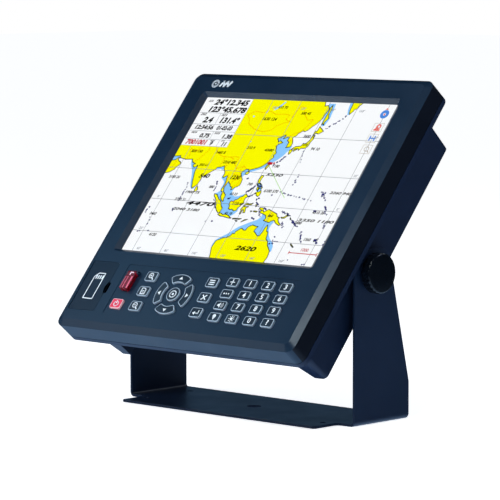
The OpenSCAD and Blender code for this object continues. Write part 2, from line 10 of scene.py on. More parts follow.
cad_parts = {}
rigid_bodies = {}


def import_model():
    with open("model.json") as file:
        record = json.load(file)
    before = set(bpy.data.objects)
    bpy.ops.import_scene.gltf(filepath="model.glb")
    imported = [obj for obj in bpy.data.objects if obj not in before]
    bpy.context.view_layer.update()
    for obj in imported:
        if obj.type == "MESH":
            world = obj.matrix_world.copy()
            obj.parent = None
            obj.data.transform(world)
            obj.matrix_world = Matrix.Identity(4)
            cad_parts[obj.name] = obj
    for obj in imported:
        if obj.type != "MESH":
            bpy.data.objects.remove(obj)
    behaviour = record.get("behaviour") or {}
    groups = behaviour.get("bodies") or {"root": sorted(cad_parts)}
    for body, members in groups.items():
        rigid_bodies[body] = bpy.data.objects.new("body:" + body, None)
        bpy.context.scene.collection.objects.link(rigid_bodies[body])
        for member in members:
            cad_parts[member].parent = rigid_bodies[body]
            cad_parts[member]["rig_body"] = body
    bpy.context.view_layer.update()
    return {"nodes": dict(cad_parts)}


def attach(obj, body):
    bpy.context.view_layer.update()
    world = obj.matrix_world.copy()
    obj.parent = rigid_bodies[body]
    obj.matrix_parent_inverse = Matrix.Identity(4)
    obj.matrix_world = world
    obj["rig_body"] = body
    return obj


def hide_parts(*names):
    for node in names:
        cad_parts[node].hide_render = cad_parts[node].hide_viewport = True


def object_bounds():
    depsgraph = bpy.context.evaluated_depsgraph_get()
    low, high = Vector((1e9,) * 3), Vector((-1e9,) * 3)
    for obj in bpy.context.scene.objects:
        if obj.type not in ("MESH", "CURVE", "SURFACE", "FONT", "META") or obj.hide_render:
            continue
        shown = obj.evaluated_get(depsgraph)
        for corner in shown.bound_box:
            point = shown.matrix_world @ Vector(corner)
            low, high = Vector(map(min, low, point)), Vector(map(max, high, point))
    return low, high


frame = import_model()

MM = 0.001
MERGE = 0.015          # the CAD joins its layers with steps of 0.01 mm, which are merged before rounding
NODES = frame["nodes"]

# ---- the display's own frame: x right, y up the face, z out of the face, in millimetres ----

LEAN = math.radians(40)
PIVOT = Vector((0, 2, 140.4))
PIVOT_DEPTH = 52.9
PIVOT_UP = -30.7
UP = Vector((0, math.sin(LEAN), math.cos(LEAN)))
OUT = Vector((0, -math.cos(LEAN), math.sin(LEAN)))
FACE_CENTRE = PIVOT + OUT * PIVOT_DEPTH - UP * PIVOT_UP
FACE = Matrix((
    (1, 0, 0, FACE_CENTRE.x),
    (0, UP.y, OUT.y, FACE_CENTRE.y),
    (0, UP.z, OUT.z, FACE_CENTRE.z),
    (0, 0, 0, 1),
))


# ---- materials ----

def srgb(code):
    """Linear colour of a hex code."""
    values = [int(code[i:i + 2], 16) / 255 for i in (0, 2, 4)]
    return [v / 12.92 if v <= 0.04045 else ((v + 0.055) / 1.055) ** 2.4 for v in values] + [1.0]


def scaled(colour, k):
    """The colour made k times as bright."""
    return [min(1.0, c * k) for c in colour[:3]] + [1.0]


def preset(node, **values):
    """Sets a node's inputs. An underscore in a name stands for a space."""
    for name, value in values.items():
        node.inputs[name.replace("_", " ")].default_value = value
    return node


def new_material(name):
    """A material and its shader, what adds and links its nodes, and the object's own coordinates."""
    material = bpy.data.materials.new(name)
    material.use_nodes = True
    add, link = material.node_tree.nodes.new, material.node_tree.links.new
    place = add("ShaderNodeTexCoord").outputs["Object"]
    return material, material.node_tree.nodes["Principled BSDF"], add, link, place


def noise(add, link, place, scale, detail=2):
    texture = preset(add("ShaderNodeTexNoise"), Scale=scale, Detail=detail)
    link(place, texture.inputs["Vector"])
    return texture.outputs["Fac"]


def set_gloss(add, link, shader, pattern, smoothest, roughest):
    """Roughness that follows a pattern between two values."""
    span = preset(add("ShaderNodeMapRange"), To_Min=smoothest, To_Max=roughest)
    link(pattern, span.inputs["Value"])
    link(span.outputs["Result"], shader.inputs["Roughness"])


BLOTCH_SCALE = 30
BUMP_HEIGHT = 0.0002
COAT_ROUGHNESS = 0.25


def surface(name, code, rough=0.45, metal=0.0, grain=900, bump=0.06, vary=0.25, rough_vary=0.08,
            specular=0.5, coat=0.0, **inputs):
    """A painted, moulded or metal finish: fine grain in the bump, slow changes in colour and gloss."""
    material, shader, add, link, place = new_material(name)
    slow = noise(add, link, place, BLOTCH_SCALE, 3)
    fine = noise(add, link, place, grain, 4)
    half_fine, mean = add("ShaderNodeMath"), add("ShaderNodeMath")
    half_fine.operation, mean.operation = "MULTIPLY", "MULTIPLY_ADD"
    half_fine.inputs[1].default_value = mean.inputs[1].default_value = 0.5
    link(fine, half_fine.inputs[0])
    link(slow, mean.inputs[0])
    link(half_fine.outputs[0], mean.inputs[2])
    ramp = add("ShaderNodeValToRGB")
    for stop, position, k in zip(ramp.color_ramp.elements, (0.3, 0.7), (1 - vary, 1 + vary)):
        stop.position, stop.color = position, scaled(srgb(code), k)
    link(mean.outputs[0], ramp.inputs["Fac"])
    link(ramp.outputs["Color"], shader.inputs["Base Color"])
    set_gloss(add, link, shader, slow, max(0.02, rough - rough_vary), min(1.0, rough + rough_vary))
    if bump:
        relief = preset(add("ShaderNodeBump"), Strength=bump, Distance=BUMP_HEIGHT)
        link(fine, relief.inputs["Height"])
        link(relief.outputs["Normal"], shader.inputs["Normal"])
    preset(shader, Metallic=metal, Specular_IOR_Level=specular, Coat_Weight=coat,
           Coat_Roughness=COAT_ROUGHNESS, **inputs)
    return material


def lit(name, code):
    """A part of the lit picture: it gives off its own colour, very slightly uneven."""
    material, shader, add, link, place = new_material(name)
    ramp = add("ShaderNodeValToRGB")
    for stop, k in zip(ramp.color_ramp.elements, (0.97, 1.0)):
        stop.color = scaled(srgb(code), k)
    link(noise(add, link, place, 14), ramp.inputs["Fac"])
    link(ramp.outputs["Color"], shader.inputs["Emission Color"])
    preset(shader, Emission_Strength=1.0, Base_Color=scaled(srgb(code), 0.02), Roughness=0.6,
           Specular_IOR_Level=0.0)
    return material


def glass(name):
    """Clear cover glass with faint smears in its gloss."""
    material, shader, add, link, place = new_material(name)
    preset(shader, Base_Color=(0.96, 0.98, 1.0, 1.0), Transmission_Weight=1.0, IOR=1.1)
    set_gloss(add, link, shader, noise(add, link, place, 25), 0.0, 0.03)
    return material


FACE_PAINT = surface("face_paint", "0f253a", rough=0.36, grain=1400, bump=0.15, vary=0.1, specular=0.25)
# Painted shade: a near-black copy of the face paint for the bezel's outer side walls
SIDE_PAINTED_SHADE = surface("side_painted_shade", "060c18", grain=1400, bump=0.12, vary=0.1, specular=0.18)
BRACKET_PAINT = surface("bracket_paint", "10213a", rough=0.38, grain=1200, bump=0.1, vary=0.1, specular=0.3)
HOUSING_PAINT = surface("housing_paint", "0d1d37", rough=0.42, grain=1100, bump=0.15, vary=0.1,
                        specular=0.25)
DOOR_PAINT = surface("door_paint", "0d1f31", rough=0.4, grain=1400, bump=0.12, vary=0.1, specular=0.22)
KNOB_BLACK = surface("knob_black", "060b13", rough=0.2, rough_vary=0.04, grain=700, bump=0.02, vary=0.2,
                     specular=0.35)
STEEL = surface("plated_steel", "b4b7bb", rough=0.28, metal=1.0, grain=1800, bump=0.05, vary=0.08)
WASHER_STEEL = surface("washer_steel", "93969b", rough=0.38, metal=1.0, grain=1500, bump=0.05, vary=0.1)
SCREW_BLACK = surface("screw_black", "2a2d32", rough=0.35, metal=0.8, grain=1500, bump=0.05, vary=0.15)
SEAL = surface("seal_rubber", "0c0d0f", rough=0.75, bump=0.2, vary=0.2)
FRICTION = surface("friction_rubber", "121316", rough=0.7, bump=0.2, vary=0.2)
GLASS = glass("cover_glass")
LCD_FRAME = surface("lcd_frame", "0d1014", rough=0.5, grain=800, bump=0.05, vary=0.15)
SILICONE = surface("silicone", "202428", rough=0.65, grain=700, bump=0.1, vary=0.15)
BOARD = surface("circuit_board", "145032", rough=0.4, grain=1600, bump=0.1, coat=0.3)
CHASSIS = surface("chassis_metal", "a7abae", rough=0.35, metal=1.0, grain=1500, vary=0.08)
BLACK_PLASTIC = surface("black_plastic", "15161a", bump=0.12, vary=0.2)
NICKEL = surface("connector_nickel", "b9b6ac", rough=0.25, metal=1.0, grain=1500, bump=0.04, vary=0.08)
SOCKET_PLASTIC = surface("socket_plastic", "1c1f24", rough=0.5, bump=0.1, vary=0.2)
CARD_BLUE = surface("card_plastic", "27457c", rough=0.4, bump=0.08, vary=0.15)
RIBBON = surface("ribbon_film", "c9b48a", rough=0.35, grain=600, bump=0.05, vary=0.1)
BRASS = surface("insert_brass", "b08d42", rough=0.3, metal=1.0, grain=1500, bump=0.05, vary=0.1)
KEY_TOP = surface("key_top", "102232", rough=0.36, grain=1500, vary=0.1, specular=0.35)
KEY_SIDE = surface("key_side", "8496ab", rough=0.4, bump=0.03, vary=0.08,
                   Subsurface_Weight=0.15, Subsurface_Scale=0.002)
KEY_RIM = surface("key_rim", "a3b4c6", rough=0.35, bump=0.02, vary=0.06)
POWER_TOP = surface("power_top", "e2264a", rough=0.4, grain=1500, vary=0.08, coat=0.3)
POWER_RIM = surface("power_rim", "e9b6bd", rough=0.35, bump=0.02, vary=0.06)
ALERT_TOP = surface("alert_top", "c0142c", rough=0.4, grain=1500, vary=0.1, coat=0.3)
# Lighter red ribs on the guard cover, partly raised ribs and partly painted highlight: the wide right one
# stands in for the cover's lit side
GUARD_RIB_AND_SHEEN = surface("guard_rib_and_sheen", "d8607a", rough=0.3, grain=500, bump=0.01, vary=0.06, specular=0.3)
# Painted highlight: a near-white glint at the top of the guard cover
GUARD_PAINTED_GLINT = surface("guard_painted_glint", "f0ccd8", rough=0.2, grain=500, bump=0.01, vary=0.05)
GUARD = surface("guard_red", "b0162e", rough=0.15, grain=500, bump=0.01, vary=0.06, specular=0.25,
                Transmission_Weight=0.75, IOR=1.3)
PRINT_WHITE = surface("print_white", "e8eef4", rough=0.5, grain=1500, bump=0.02, vary=0.03)
PRINT_SILVER = surface("print_silver", "dfe6ee", rough=0.35, grain=1500, bump=0.02, vary=0.05)
# Painted shade: black for the shade inside the finger notch beside the door
NOTCH_PAINTED_SHADE = surface("notch_painted_shade", "020304", rough=0.9, bump=0.0, vary=0.2, specular=0.0)

CAD_MATERIALS = {
    "mounting_bracket": BRACKET_PAINT, "left_knob": KNOB_BLACK, "right_knob": KNOB_BLACK,
    "left_knob_stud": STEEL, "right_knob_stud": STEEL, "left_knob_washer": WASHER_STEEL,
    "right_knob_washer": WASHER_STEEL, "front_bezel": FACE_PAINT, "bezel_gasket": SEAL,
    "rear_housing": HOUSING_PAINT, "screen_glass": GLASS, "lcd_module": LCD_FRAME,
    "keypad_mat": SILICONE, "keypad_board": BOARD, "chassis_plate": CHASSIS, "main_board": BOARD,
    "board_screws": STEEL, "case_screws": SCREW_BLACK, "power_connector": BLACK_PLASTIC,
    "data_connectors": NICKEL, "antenna_connector": NICKEL, "speaker": BLACK_PLASTIC,
    "card_socket": SOCKET_PLASTIC, "memory_card": CARD_BLUE, "keypad_ribbon": RIBBON,
    "pivot_inserts": BRASS, "friction_washers": FRICTION, "guard_cover": GUARD,
    "guard_pin": STEEL, "card_door": DOOR_PAINT, "door_pin": STEEL,
}


def give(obj, *materials):
    """Puts the materials in the object's slots."""
    obj.data.materials.clear()
    for m in materials:
        obj.data.materials.append(m)


for name, node in NODES.items():
    give(node, CAD_MATERIALS.get(name, KEY_TOP))

# ---- softened copies of CAD nodes, with their edges rounded as moulding or paint leaves them ----

def add_object(name, mesh):
    obj = bpy.data.objects.new(name, mesh)
    bpy.context.scene.collection.objects.link(obj)
    return obj


def apply_modifiers(obj):
    graph = bpy.context.evaluated_depsgraph_get()
    mesh = bpy.data.meshes.new_from_object(obj.evaluated_get(graph))
    obj.modifiers.clear()
    obj.data = mesh


BEVEL_FROM = math.radians(28)     # edges that turn less than this aren't rounded
FLAT_WITHIN = math.radians(0.6)   # faces that turn less than this are joined first


def softened(node, name, width, segments=2, sharp=40):
    """A copy of a CAD node with smooth shading. Unless width is 0, its edges are rounded by width mm.

    Edges that turn more than sharp degrees stay crisp in the shading.
    """
    mesh = NODES[node].data.copy()
    mesh.name = name
    work = bmesh.new()
    work.from_mesh(mesh)
    bmesh.ops.remove_doubles(work, verts=work.verts, dist=MERGE * MM)
    if width:
        bmesh.ops.dissolve_limit(work, angle_limit=FLAT_WITHIN, verts=work.verts, edges=work.edges)
    work.to_mesh(mesh)
    work.free()
    stored = mesh.attributes.get("custom_normal")
    if stored:
        mesh.attributes.remove(stored)
    obj = add_object(name, mesh)
    if width:
        bevel = obj.modifiers.new("round", "BEVEL")
        bevel.width = width * MM
        bevel.segments = segments
        bevel.limit_method = "ANGLE"
        bevel.angle_limit = BEVEL_FROM
        bevel.use_clamp_overlap = False
        bevel.miter_outer = "MITER_SHARP"
        apply_modifiers(obj)
    for p in obj.data.polygons:
        p.use_smooth = True
    obj.data.set_sharp_from_angle(angle=math.radians(sharp))
    obj.modifiers.new("even", "WEIGHTED_NORMAL").keep_sharp = True
    apply_modifiers(obj)
    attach(obj, NODES[node]["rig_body"])
    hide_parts(node)
    return obj


# The bezel's outer side walls get a near-black copy of its paint, painted shade where they turn away from
# the light: faces beyond SIDE_WALL_X that look outwards
SIDE_FACING = 0.8
SIDE_WALL_X = 0.145

# CAD node, name of its copy, width of the rounded edges, sharp angle, slot
SOFT = [
    ("mounting_bracket", "bracket_shell", 0.45, 40, "bracket_paint"),
    ("front_bezel", "bezel_shell", 0, 22, "case_paint"),
    ("rear_housing", "housing_shell", 0, 22, "housing_paint"),
    ("card_door", "door_shell", 0, 40, "door_paint"),
    ("left_knob", "left_knob_cap", 0.35, 40, "knob_plastic"),
    ("right_knob", "right_knob_cap", 0.35, 40, "knob_plastic"),
    ("guard_cover", "guard_shell", 0, 40, "guard_red"),
    ("left_knob_washer", "left_washer_ring", 0.25, 40, "washer_steel"),
    ("right_knob_washer", "right_washer_ring", 0.25, 40, "washer_steel"),
]
for node, name, width, sharp, slot in SOFT:
    piece = softened(node, name, width, sharp=sharp)
    give(piece, CAD_MATERIALS[node])
    if node == "front_bezel":
        piece.data.materials.append(SIDE_PAINTED_SHADE)
        for p in piece.data.polygons:
            outwards = p.normal.x * math.copysign(1, p.center.x)
            if abs(p.center.x) > SIDE_WALL_X and outwards > SIDE_FACING:
                p.material_index = 1

# ---- keys: dark tops, with a pale rim and pale sides ----

KEY_EDGE = 0.28      # width of a key's rounded edge
RIM_WIDTH = 0.45     # width of its pale rim
TOP_FACING, RIM_FACING = 0.985, 0.15     # how far a face looks out of the display to be top or rim
for node in sorted(n for n in NODES if n.startswith("key_")):
    piece = softened(node, node + "_cap", KEY_EDGE, segments=3)
    top, rim, side, slot = KEY_TOP, KEY_RIM, KEY_SIDE, "key_plastic"
    if node == "key_power":
        top, rim, side, slot = POWER_TOP, POWER_RIM, POWER_RIM, "power_red"
    if node == "key_alert":
        top, rim, side, slot = ALERT_TOP, ALERT_TOP, ALERT_TOP, "alert_red"
    give(piece, top, rim, side)
    work = bmesh.new()
    work.from_mesh(piece.data)
    tops = []
    for f in work.faces:
        lift = f.normal.dot(OUT)
        f.material_index = 0 if lift > TOP_FACING else 1 if lift > RIM_FACING else 2
        if f.material_index == 0:
            tops.append(f)
    ring = bmesh.ops.inset_region(work, faces=tops, thickness=RIM_WIDTH * MM, use_even_offset=True)
    for f in ring["faces"]:
        f.material_index = 1
    work.to_mesh(piece.data)
    work.free()

# ---- flat shapes: thin closed plates standing on a surface ----

def finish_piece(name, work, material, body):
    """Makes an object of a mesh that was drawn in millimetres in the display's own frame."""
    mesh = bpy.data.meshes.new(name)
    work.transform(Matrix.Scale(MM, 4) @ FACE)
    work.to_mesh(mesh)
    work.free()
    obj = add_object(name, mesh)
    give(obj, material)
    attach(obj, body)


def plate(name, polygons, low, high, material, slot, body="display"):
    """Closed thin plates from polygons on the face, from height low to high above it."""
    work = bmesh.new()
    for points in polygons:
        loop = [Vector((x, y, 0)) for x, y in points]
        area = sum(a.x * b.y - b.x * a.y for a, b in zip(loop, loop[1:] + loop[:1]))
        if area < 0:
            loop.reverse()
        upper = [work.verts.new((p.x, p.y, high)) for p in loop]
        lower = [work.verts.new((p.x, p.y, low)) for p in loop]
        for tri in tessellate_polygon([loop]):
            a, b, c = (loop[i] for i in tri)
            turn = (b - a).cross(c - a).z
            order = tri if turn > 0 else tuple(reversed(tri))
            try:
                work.faces.new([upper[i] for i in order])
                work.faces.new([lower[i] for i in reversed(order)])
            except ValueError:
                pass          # the triangle is there already
        n = len(loop)
        for i in range(n):
            j = (i + 1) % n
            work.faces.new([lower[i], lower[j], upper[j], upper[i]])
    finish_piece(name, work, material, body)


def box(x0, y0, x1, y1):
    return [(x0, y0), (x1, y0), (x1, y1), (x0, y1)]


def centred_box(x, y, half_w, half_h):
    return box(x - half_w, y - half_h, x + half_w, y + half_h)


def moved(points, x, y):
    return [(x + px, y + py) for px, py in points]


def circle(x, y, r, n, start=0.0, sweep=2 * math.pi):
    """n steps round a circle or, when sweep is less than a turn, along an arc with both of its ends."""
    count = n if sweep >= 2 * math.pi else n + 1
    angles = [start + sweep * i / n for i in range(count)]
    return [(x + r * math.cos(a), y + r * math.sin(a)) for a in angles]


TINY = 1e-6
RUN_ON = 0.6         # how far a stretch of a band runs on past its ends, as a share of half its width


def band(points, width, closed=False):
    """Quads of that width along a line of points, one for each stretch, with their ends overlapping."""
    ends = points[1:] + points[:1] if closed else points[1:]
    made = []
    for (x0, y0), (x1, y1) in zip(points, ends):
        d = math.hypot(x1 - x0, y1 - y0) or TINY
        ax, ay = (x1 - x0) / d * width / 2, (y1 - y0) / d * width / 2
        x0, y0 = x0 - ax * RUN_ON, y0 - ay * RUN_ON
        x1, y1 = x1 + ax * RUN_ON, y1 + ay * RUN_ON
        made.append([(x0 - ay, y0 + ax), (x0 + ay, y0 - ax), (x1 + ay, y1 - ax), (x1 - ay, y1 + ax)])
    return made


DIGIT_SHARE = 0.72   # the height of a numeral as a share of the font's size


def figures(name, words, low, high, material, slot, body="display", bold=0.0, lean=0.0):
    """Numerals as a thin mesh.

    words is a list of (text, x, y, height) or (text, x, y, height, width): x, y is the text's middle, and
    width stretches it to that width.
    """
    work = bmesh.new()
    for text, x, y, height, *across in words:
        curve = bpy.data.curves.new("figures", "FONT")
        curve.body = text
        curve.size = height / DIGIT_SHARE
        curve.align_x, curve.align_y = "CENTER", "CENTER"
        curve.offset = bold * height
        curve.shear = lean
        curve.extrude = (high - low) / 2
        curve.resolution_u = 3
        temp = add_object("figures", curve)
        graph = bpy.context.evaluated_depsgraph_get()
        mesh = bpy.data.meshes.new_from_object(temp.evaluated_get(graph))
        xs = [v.co.x for v in mesh.vertices]
        stretch = across[0] / (max(xs) - min(xs)) if across else 1.0
        shift = Matrix.Translation((x, y, (low + high) / 2))
        mesh.transform(shift @ Matrix.Diagonal((stretch, 1, 1, 1)))
        work.from_mesh(mesh)
        bpy.data.objects.remove(temp)
        bpy.data.meshes.remove(mesh)
    finish_piece(name, work, material, body)


# ---- the picture: a small-scale chart of an ocean region with a data panel ----

PICTURE_MID = 31.6
PICTURE_W, PICTURE_H = 246.0, 184.5
UNDER_RIM = 2.4       # how far the picture runs on under the edge of its opening
LEFT, RIGHT = -PICTURE_W / 2 - UNDER_RIM, PICTURE_W / 2 + UNDER_RIM
BOTTOM, TOP = PICTURE_MID - PICTURE_H / 2 - UNDER_RIM, PICTURE_MID + PICTURE_H / 2 + UNDER_RIM
DEPTH = -6.28         # just in front of the panel's frame, measured outwards from the face
LAYER = 0.026
MM_PER_DEGREE = 1.8633
EQUATOR_UP = 1.5
MIDDLE_LON, MIDDLE_X = 120.0, 0.6


def chart(lon, lat):
    """Where a longitude and latitude fall on the picture (Mercator's projection)."""
    y = math.degrees(math.log(math.tan(math.radians(45 + lat / 2))))
    return (min(max(MIDDLE_X + (lon - MIDDLE_LON) * MM_PER_DEGREE, LEFT), RIGHT),
            min(max(EQUATOR_UP + y * MM_PER_DEGREE, BOTTOM), TOP))


def coast(*numbers):
    """Chart points from longitude, latitude, longitude, latitude ..."""
    return [chart(a, b) for a, b in zip(numbers[::2], numbers[1::2])]


def layer(index):
    """The low and high face of picture layer number index."""
    return DEPTH + LAYER * index, DEPTH + LAYER * (index + 1)


def drawn(name, polygons, index, material):
    """Shapes on a layer of the picture."""
    plate(name, polygons, *layer(index), material, "lcd_panel")


def written(name, words, index, material, bold, lean=0.0):
    """Numerals on a layer of the picture."""
    figures(name, words, *layer(index), material, "lcd_panel", bold=bold, lean=lean)


SEA = lit("chart_sea", "ffffff")
LAND = lit("chart_land", "fffb00")
SHALLOWS = lit("chart_shallows", "8fcbff")
GRID = lit("chart_grid", "7a7e86")
INK = lit("chart_ink", "020204")
ISLET = lit("chart_islets", "26286c")
BORDER = lit("chart_borders", "f07a00")
SHORE = lit("chart_shoreline", "1c2414")
PANEL = lit("panel_white", "ffffff")
PANEL_RULE = lit("panel_rules", "8a8f98")
CHART_RED = lit("chart_red", "c01828")
CHART_GREEN = lit("chart_green", "9ad85a")
ICON_BLUE = lit("icon_blue", "4a8ae0")
ICON_RED = lit("icon_red", "ea6a5e")
ICON_GREY = lit("icon_grey", "b3a698")

ASIA = coast(
    52, 26.6, 55.5, 26.8, 56.6, 27.1, 57.1, 25.9, 58.6, 25.6, 61.6, 25.1, 64.5, 25.3, 66.5, 25.4,
    66.8, 24.7, 67.6, 23.8, 68.4, 23.4, 70.3, 22.9, 69.0, 22.2, 70.1, 20.9, 71.1, 20.8, 72.2, 21.2,
    72.4, 22.2, 72.8, 21.4, 72.8, 19, 73.2, 17.3, 73.9, 15.5, 74.6, 13.8, 75.2, 12, 76.0, 10.6, 76.4, 9.4,
    77, 8.4, 77.6, 8.1, 78.2, 8.9, 79, 9.3, 79.3, 10.2, 79.9, 10.4, 79.9, 11.8, 80.3, 13.2, 80.1, 14.8,
    80.4, 15.7, 81.3, 16, 82.3, 16.7, 83.4, 17.8, 84.8, 19.1, 86.1, 19.9, 86.9, 20.7, 87.1, 21.5,
    88.3, 21.7, 89.5, 21.8, 90.6, 22.2, 91.5, 22.7, 92.2, 21.2, 93.1, 20, 94, 19.3, 94.5, 18, 94.4, 16.1,
    95.4, 15.8, 96.3, 16.5, 97.2, 17.1, 97.7, 16.2, 97.8, 15, 98.3, 13.8, 98.7, 12.2, 98.6, 10.5, 98.3, 9,
    98.4, 7.9, 99.4, 7.2, 100.3, 6.4, 100.4, 5.1, 100.7, 4, 101.4, 2.9, 102.5, 2, 103.5, 1.3, 104.2, 1.4,
    103.5, 2.7, 103.4, 4.3, 103.1, 5.4, 102.1, 6.2, 101.2, 6.9, 100.5, 7.3, 100.2, 8.4, 99.4, 9.3,
    99.3, 10.4, 99.8, 11.8, 100.1, 13.3, 100.9, 13.4, 101, 12.7, 102.3, 12.1, 103, 11, 103.7, 10.5,
    104.8, 10.3, 104.8, 8.6, 106, 9.4, 106.9, 10.4, 108.1, 10.8, 109.2, 11.7, 109.3, 13.1, 108.9, 15.3,
    107.9, 16.4, 106.6, 17.9, 105.8, 18.9, 106.1, 20, 107, 20.9, 108.1, 21.5, 109.6, 21.5, 109.8, 20.4,
    110.4, 20.4, 110.5, 21.2, 111.8, 21.6, 113.2, 22, 114.3, 22.4, 115.7, 22.8, 117.1, 23.6, 118.4, 24.7,
    119.5, 25.7, 120.1, 26.8, 121.2, 28.2, 121.8, 29.3, 121, 30.3, 121.9, 30.9, 121.8, 31.7, 120.8, 32.7,
    120.3, 34.2, 119.4, 35, 120.5, 36.1, 122.5, 36.9, 121.5, 37.5, 120.6, 37.8, 119.2, 37.2, 118.9, 38,
    117.7, 38.7, 118.1, 39.2, 119.4, 39.4, 120.6, 40.2, 121.8, 40.9, 122.2, 40.4, 121.4, 38.9,
    122.3, 39.2, 123.6, 39.7, 124.6, 40, 125.2, 39.4, 124.9, 38.1, 126.1, 37.7, 126.7, 37.1, 126.4, 36.4,
    126.5, 35.2, 126.4, 34.5, 127.6, 34.7, 128.9, 35, 129.4, 35.7, 129.4, 36.9, 128.6, 38.2, 127.6, 39.4,
    127.7, 39.9, 129.3, 40.7, 129.8, 41.8, 130.8, 42.3, 132, 43.2, 133.3, 42.8, 135.1, 43.6, 136.6, 45.2,
    138.3, 46.4, 139.7, 47.9, 140.5, 48.9, 140.6, 50.5, 141.2, 51.9, 141.3, 53, 139.8, 54.1, 137.6, 53.8,
    136.6, 60, 52, 60)
ARABIA = coast(
    52, 24.1, 54.6, 24.5, 55.6, 25.6, 56.3, 26.2, 56.5, 24.8, 57.6, 23.8, 58.8, 23.5, 59.8, 22.5,
    58.9, 21, 57.8, 20.2, 57.7, 18.9, 56.3, 17.9, 55.1, 17, 52, 16.3)
AUSTRALIA = coast(
    115.1, -40, 115.7, -31.6, 114.9, -29.5, 114, -27.5, 113.3, -26, 113.6, -24.6, 113.8, -22.6,
    114.3, -21.9, 115.6, -21.4, 116.8, -20.6, 119, -20, 121.5, -18.9, 122.3, -17.2, 123.6, -17.4,
    123.7, -16.2, 124.9, -15.1, 126.1, -14, 127.2, -14.1, 128.3, -14.9, 129.7, -14.9, 130.2, -13.2,
    131.2, -12.2, 132.7, -11.5, 135.2, -12.1, 136.8, -12.2, 136, -13.5, 135.6, -15, 137.6, -16.2,
    139.4, -17.5, 140.8, -17.5, 141.6, -15, 141.7, -12.6, 142.5, -10.8, 143.4, -12.6, 143.9, -14.4,
    145.3, -15, 145.9, -17, 146.4, -18.9, 148.4, -20.2, 149.6, -22.4, 150.9, -23.5, 152.9, -25.4,
    153.4, -27.3, 153.6, -28.8, 153, -31.2, 152.4, -40)
NEW_GUINEA = coast(
    131.1, -0.8, 134.1, -0.9, 134.3, -2.2, 135.1, -3.3, 137.8, -1.5, 141, -2.6, 144.5, -3.8, 145.8, -5.5,
    147.8, -6.1, 147.1, -6.8, 148.5, -8.6, 150.8, -10.2, 149.9, -10.6, 147.1, -9.5, 145, -7.8,
    143.3, -8.4, 142.6, -9.3, 141, -9.1, 138, -8.3, 138.8, -7, 137.8, -5.3, 135, -4.4, 133, -4,
    132.8, -2.9, 133.8, -2.4, 132.2, -2.1, 131.1, -1.4)
BORNEO = coast(
    109, 1.5, 109.7, 2, 111.2, 1.5, 111.4, 2.6, 113, 3.2, 114, 4.6, 115.5, 5.3, 116.8, 7, 117.7, 6.3,
    119.2, 5.2, 117.9, 4.2, 118, 2.3, 118.9, 1, 117.6, 0.7, 117.5, -0.8, 116.4, -1.8, 116.3, -3.6,
    114.7, -4.1, 113, -3.1, 111.6, -3.4, 110.2, -2.8, 110.1, -1.3, 109.1, -0.2)
SUMATRA = coast(
    95.3, 5.6, 97.5, 5.2, 98.4, 4.2, 100.2, 2.6, 101.6, 1.9, 103, 0.6, 103.7, -0.6, 104.5, -1.6,
    106, -2.8, 105.9, -5.7, 104.6, -5.8, 103, -4.6, 102.2, -3.8, 101, -2.3, 100.4, -0.8, 99.2, 0.4,
    98.7, 1.7, 97.2, 3.2, 95.9, 4.2)
JAVA = coast(
    105.2, -6.7, 106.2, -5.9, 107.3, -6, 108.6, -6.7, 110.8, -6.4, 112.6, -6.9, 114.4, -7.8, 114.4, -8.6,
    112, -8.3, 109.5, -7.8, 108, -7.8, 106.5, -7.4)
SULAWESI = coast(
    119.8, 0.1, 120.8, 1.3, 123, 0.9, 125.1, 1.6, 124.3, 0.4, 121, 0.4, 120.1, -0.9, 121.6, -0.9,
    123.3, -0.7, 121.9, -1.9, 122.4, -3.4, 122.8, -4.4, 121.6, -4.8, 121, -2.9, 120.4, -3, 120.4, -5.5,
    119.5, -5.5, 119.6, -3.5, 118.9, -2.7, 119.5, -1)
LUZON = coast(
    120.6, 18.5, 122.2, 18.4, 121.6, 16, 121.8, 14.2, 124, 13, 123.8, 12.8, 121.8, 13.6, 120.6, 13.8,
    120.6, 14.6, 119.9, 15.7, 120.3, 16.3, 120.4, 17.5)
MINDANAO = coast(
    122, 7, 123.4, 8.6, 124.7, 8.5, 125.5, 9.8, 126.4, 8, 126.2, 6.3, 125.4, 5.7, 124, 6.5, 123.4, 7.6)
HONSHU = coast(
    130.9, 34.1, 132.5, 35.4, 134.5, 35.6, 136, 35.8, 136.7, 37.3, 137.3, 36.8, 138.6, 37.4, 139.8, 38.9,
    140, 40.6, 141.2, 41.4, 141.9, 39.6, 141, 38, 140.8, 35.8, 139.8, 35, 138.8, 34.7, 137, 34.7,
    135.8, 33.5, 135.1, 34.4, 133, 34.2, 131.2, 33.9)
HOKKAIDO = coast(
    140, 41.5, 140.3, 43.2, 141.4, 43.3, 141.7, 45.4, 144.3, 44.1, 145.6, 43.4, 143.3, 42, 141, 42.5,
    141, 41.8)
SAKHALIN = coast(
    142, 46, 142, 47.5, 142.1, 49.5, 142.2, 51, 141.8, 53.2, 142.7, 54.3, 143.2, 52.5, 143.3, 50.5,
    144.5, 49, 143, 47.3, 143.5, 46.1, 142.6, 46.7)
KAMCHATKA = coast(
    155.5, 60, 155.7, 53, 156.2, 51.6, 156.8, 51, 158.2, 52.2, 158.6, 53, 160.1, 53.3, 160.6, 54.4,
    162, 60)
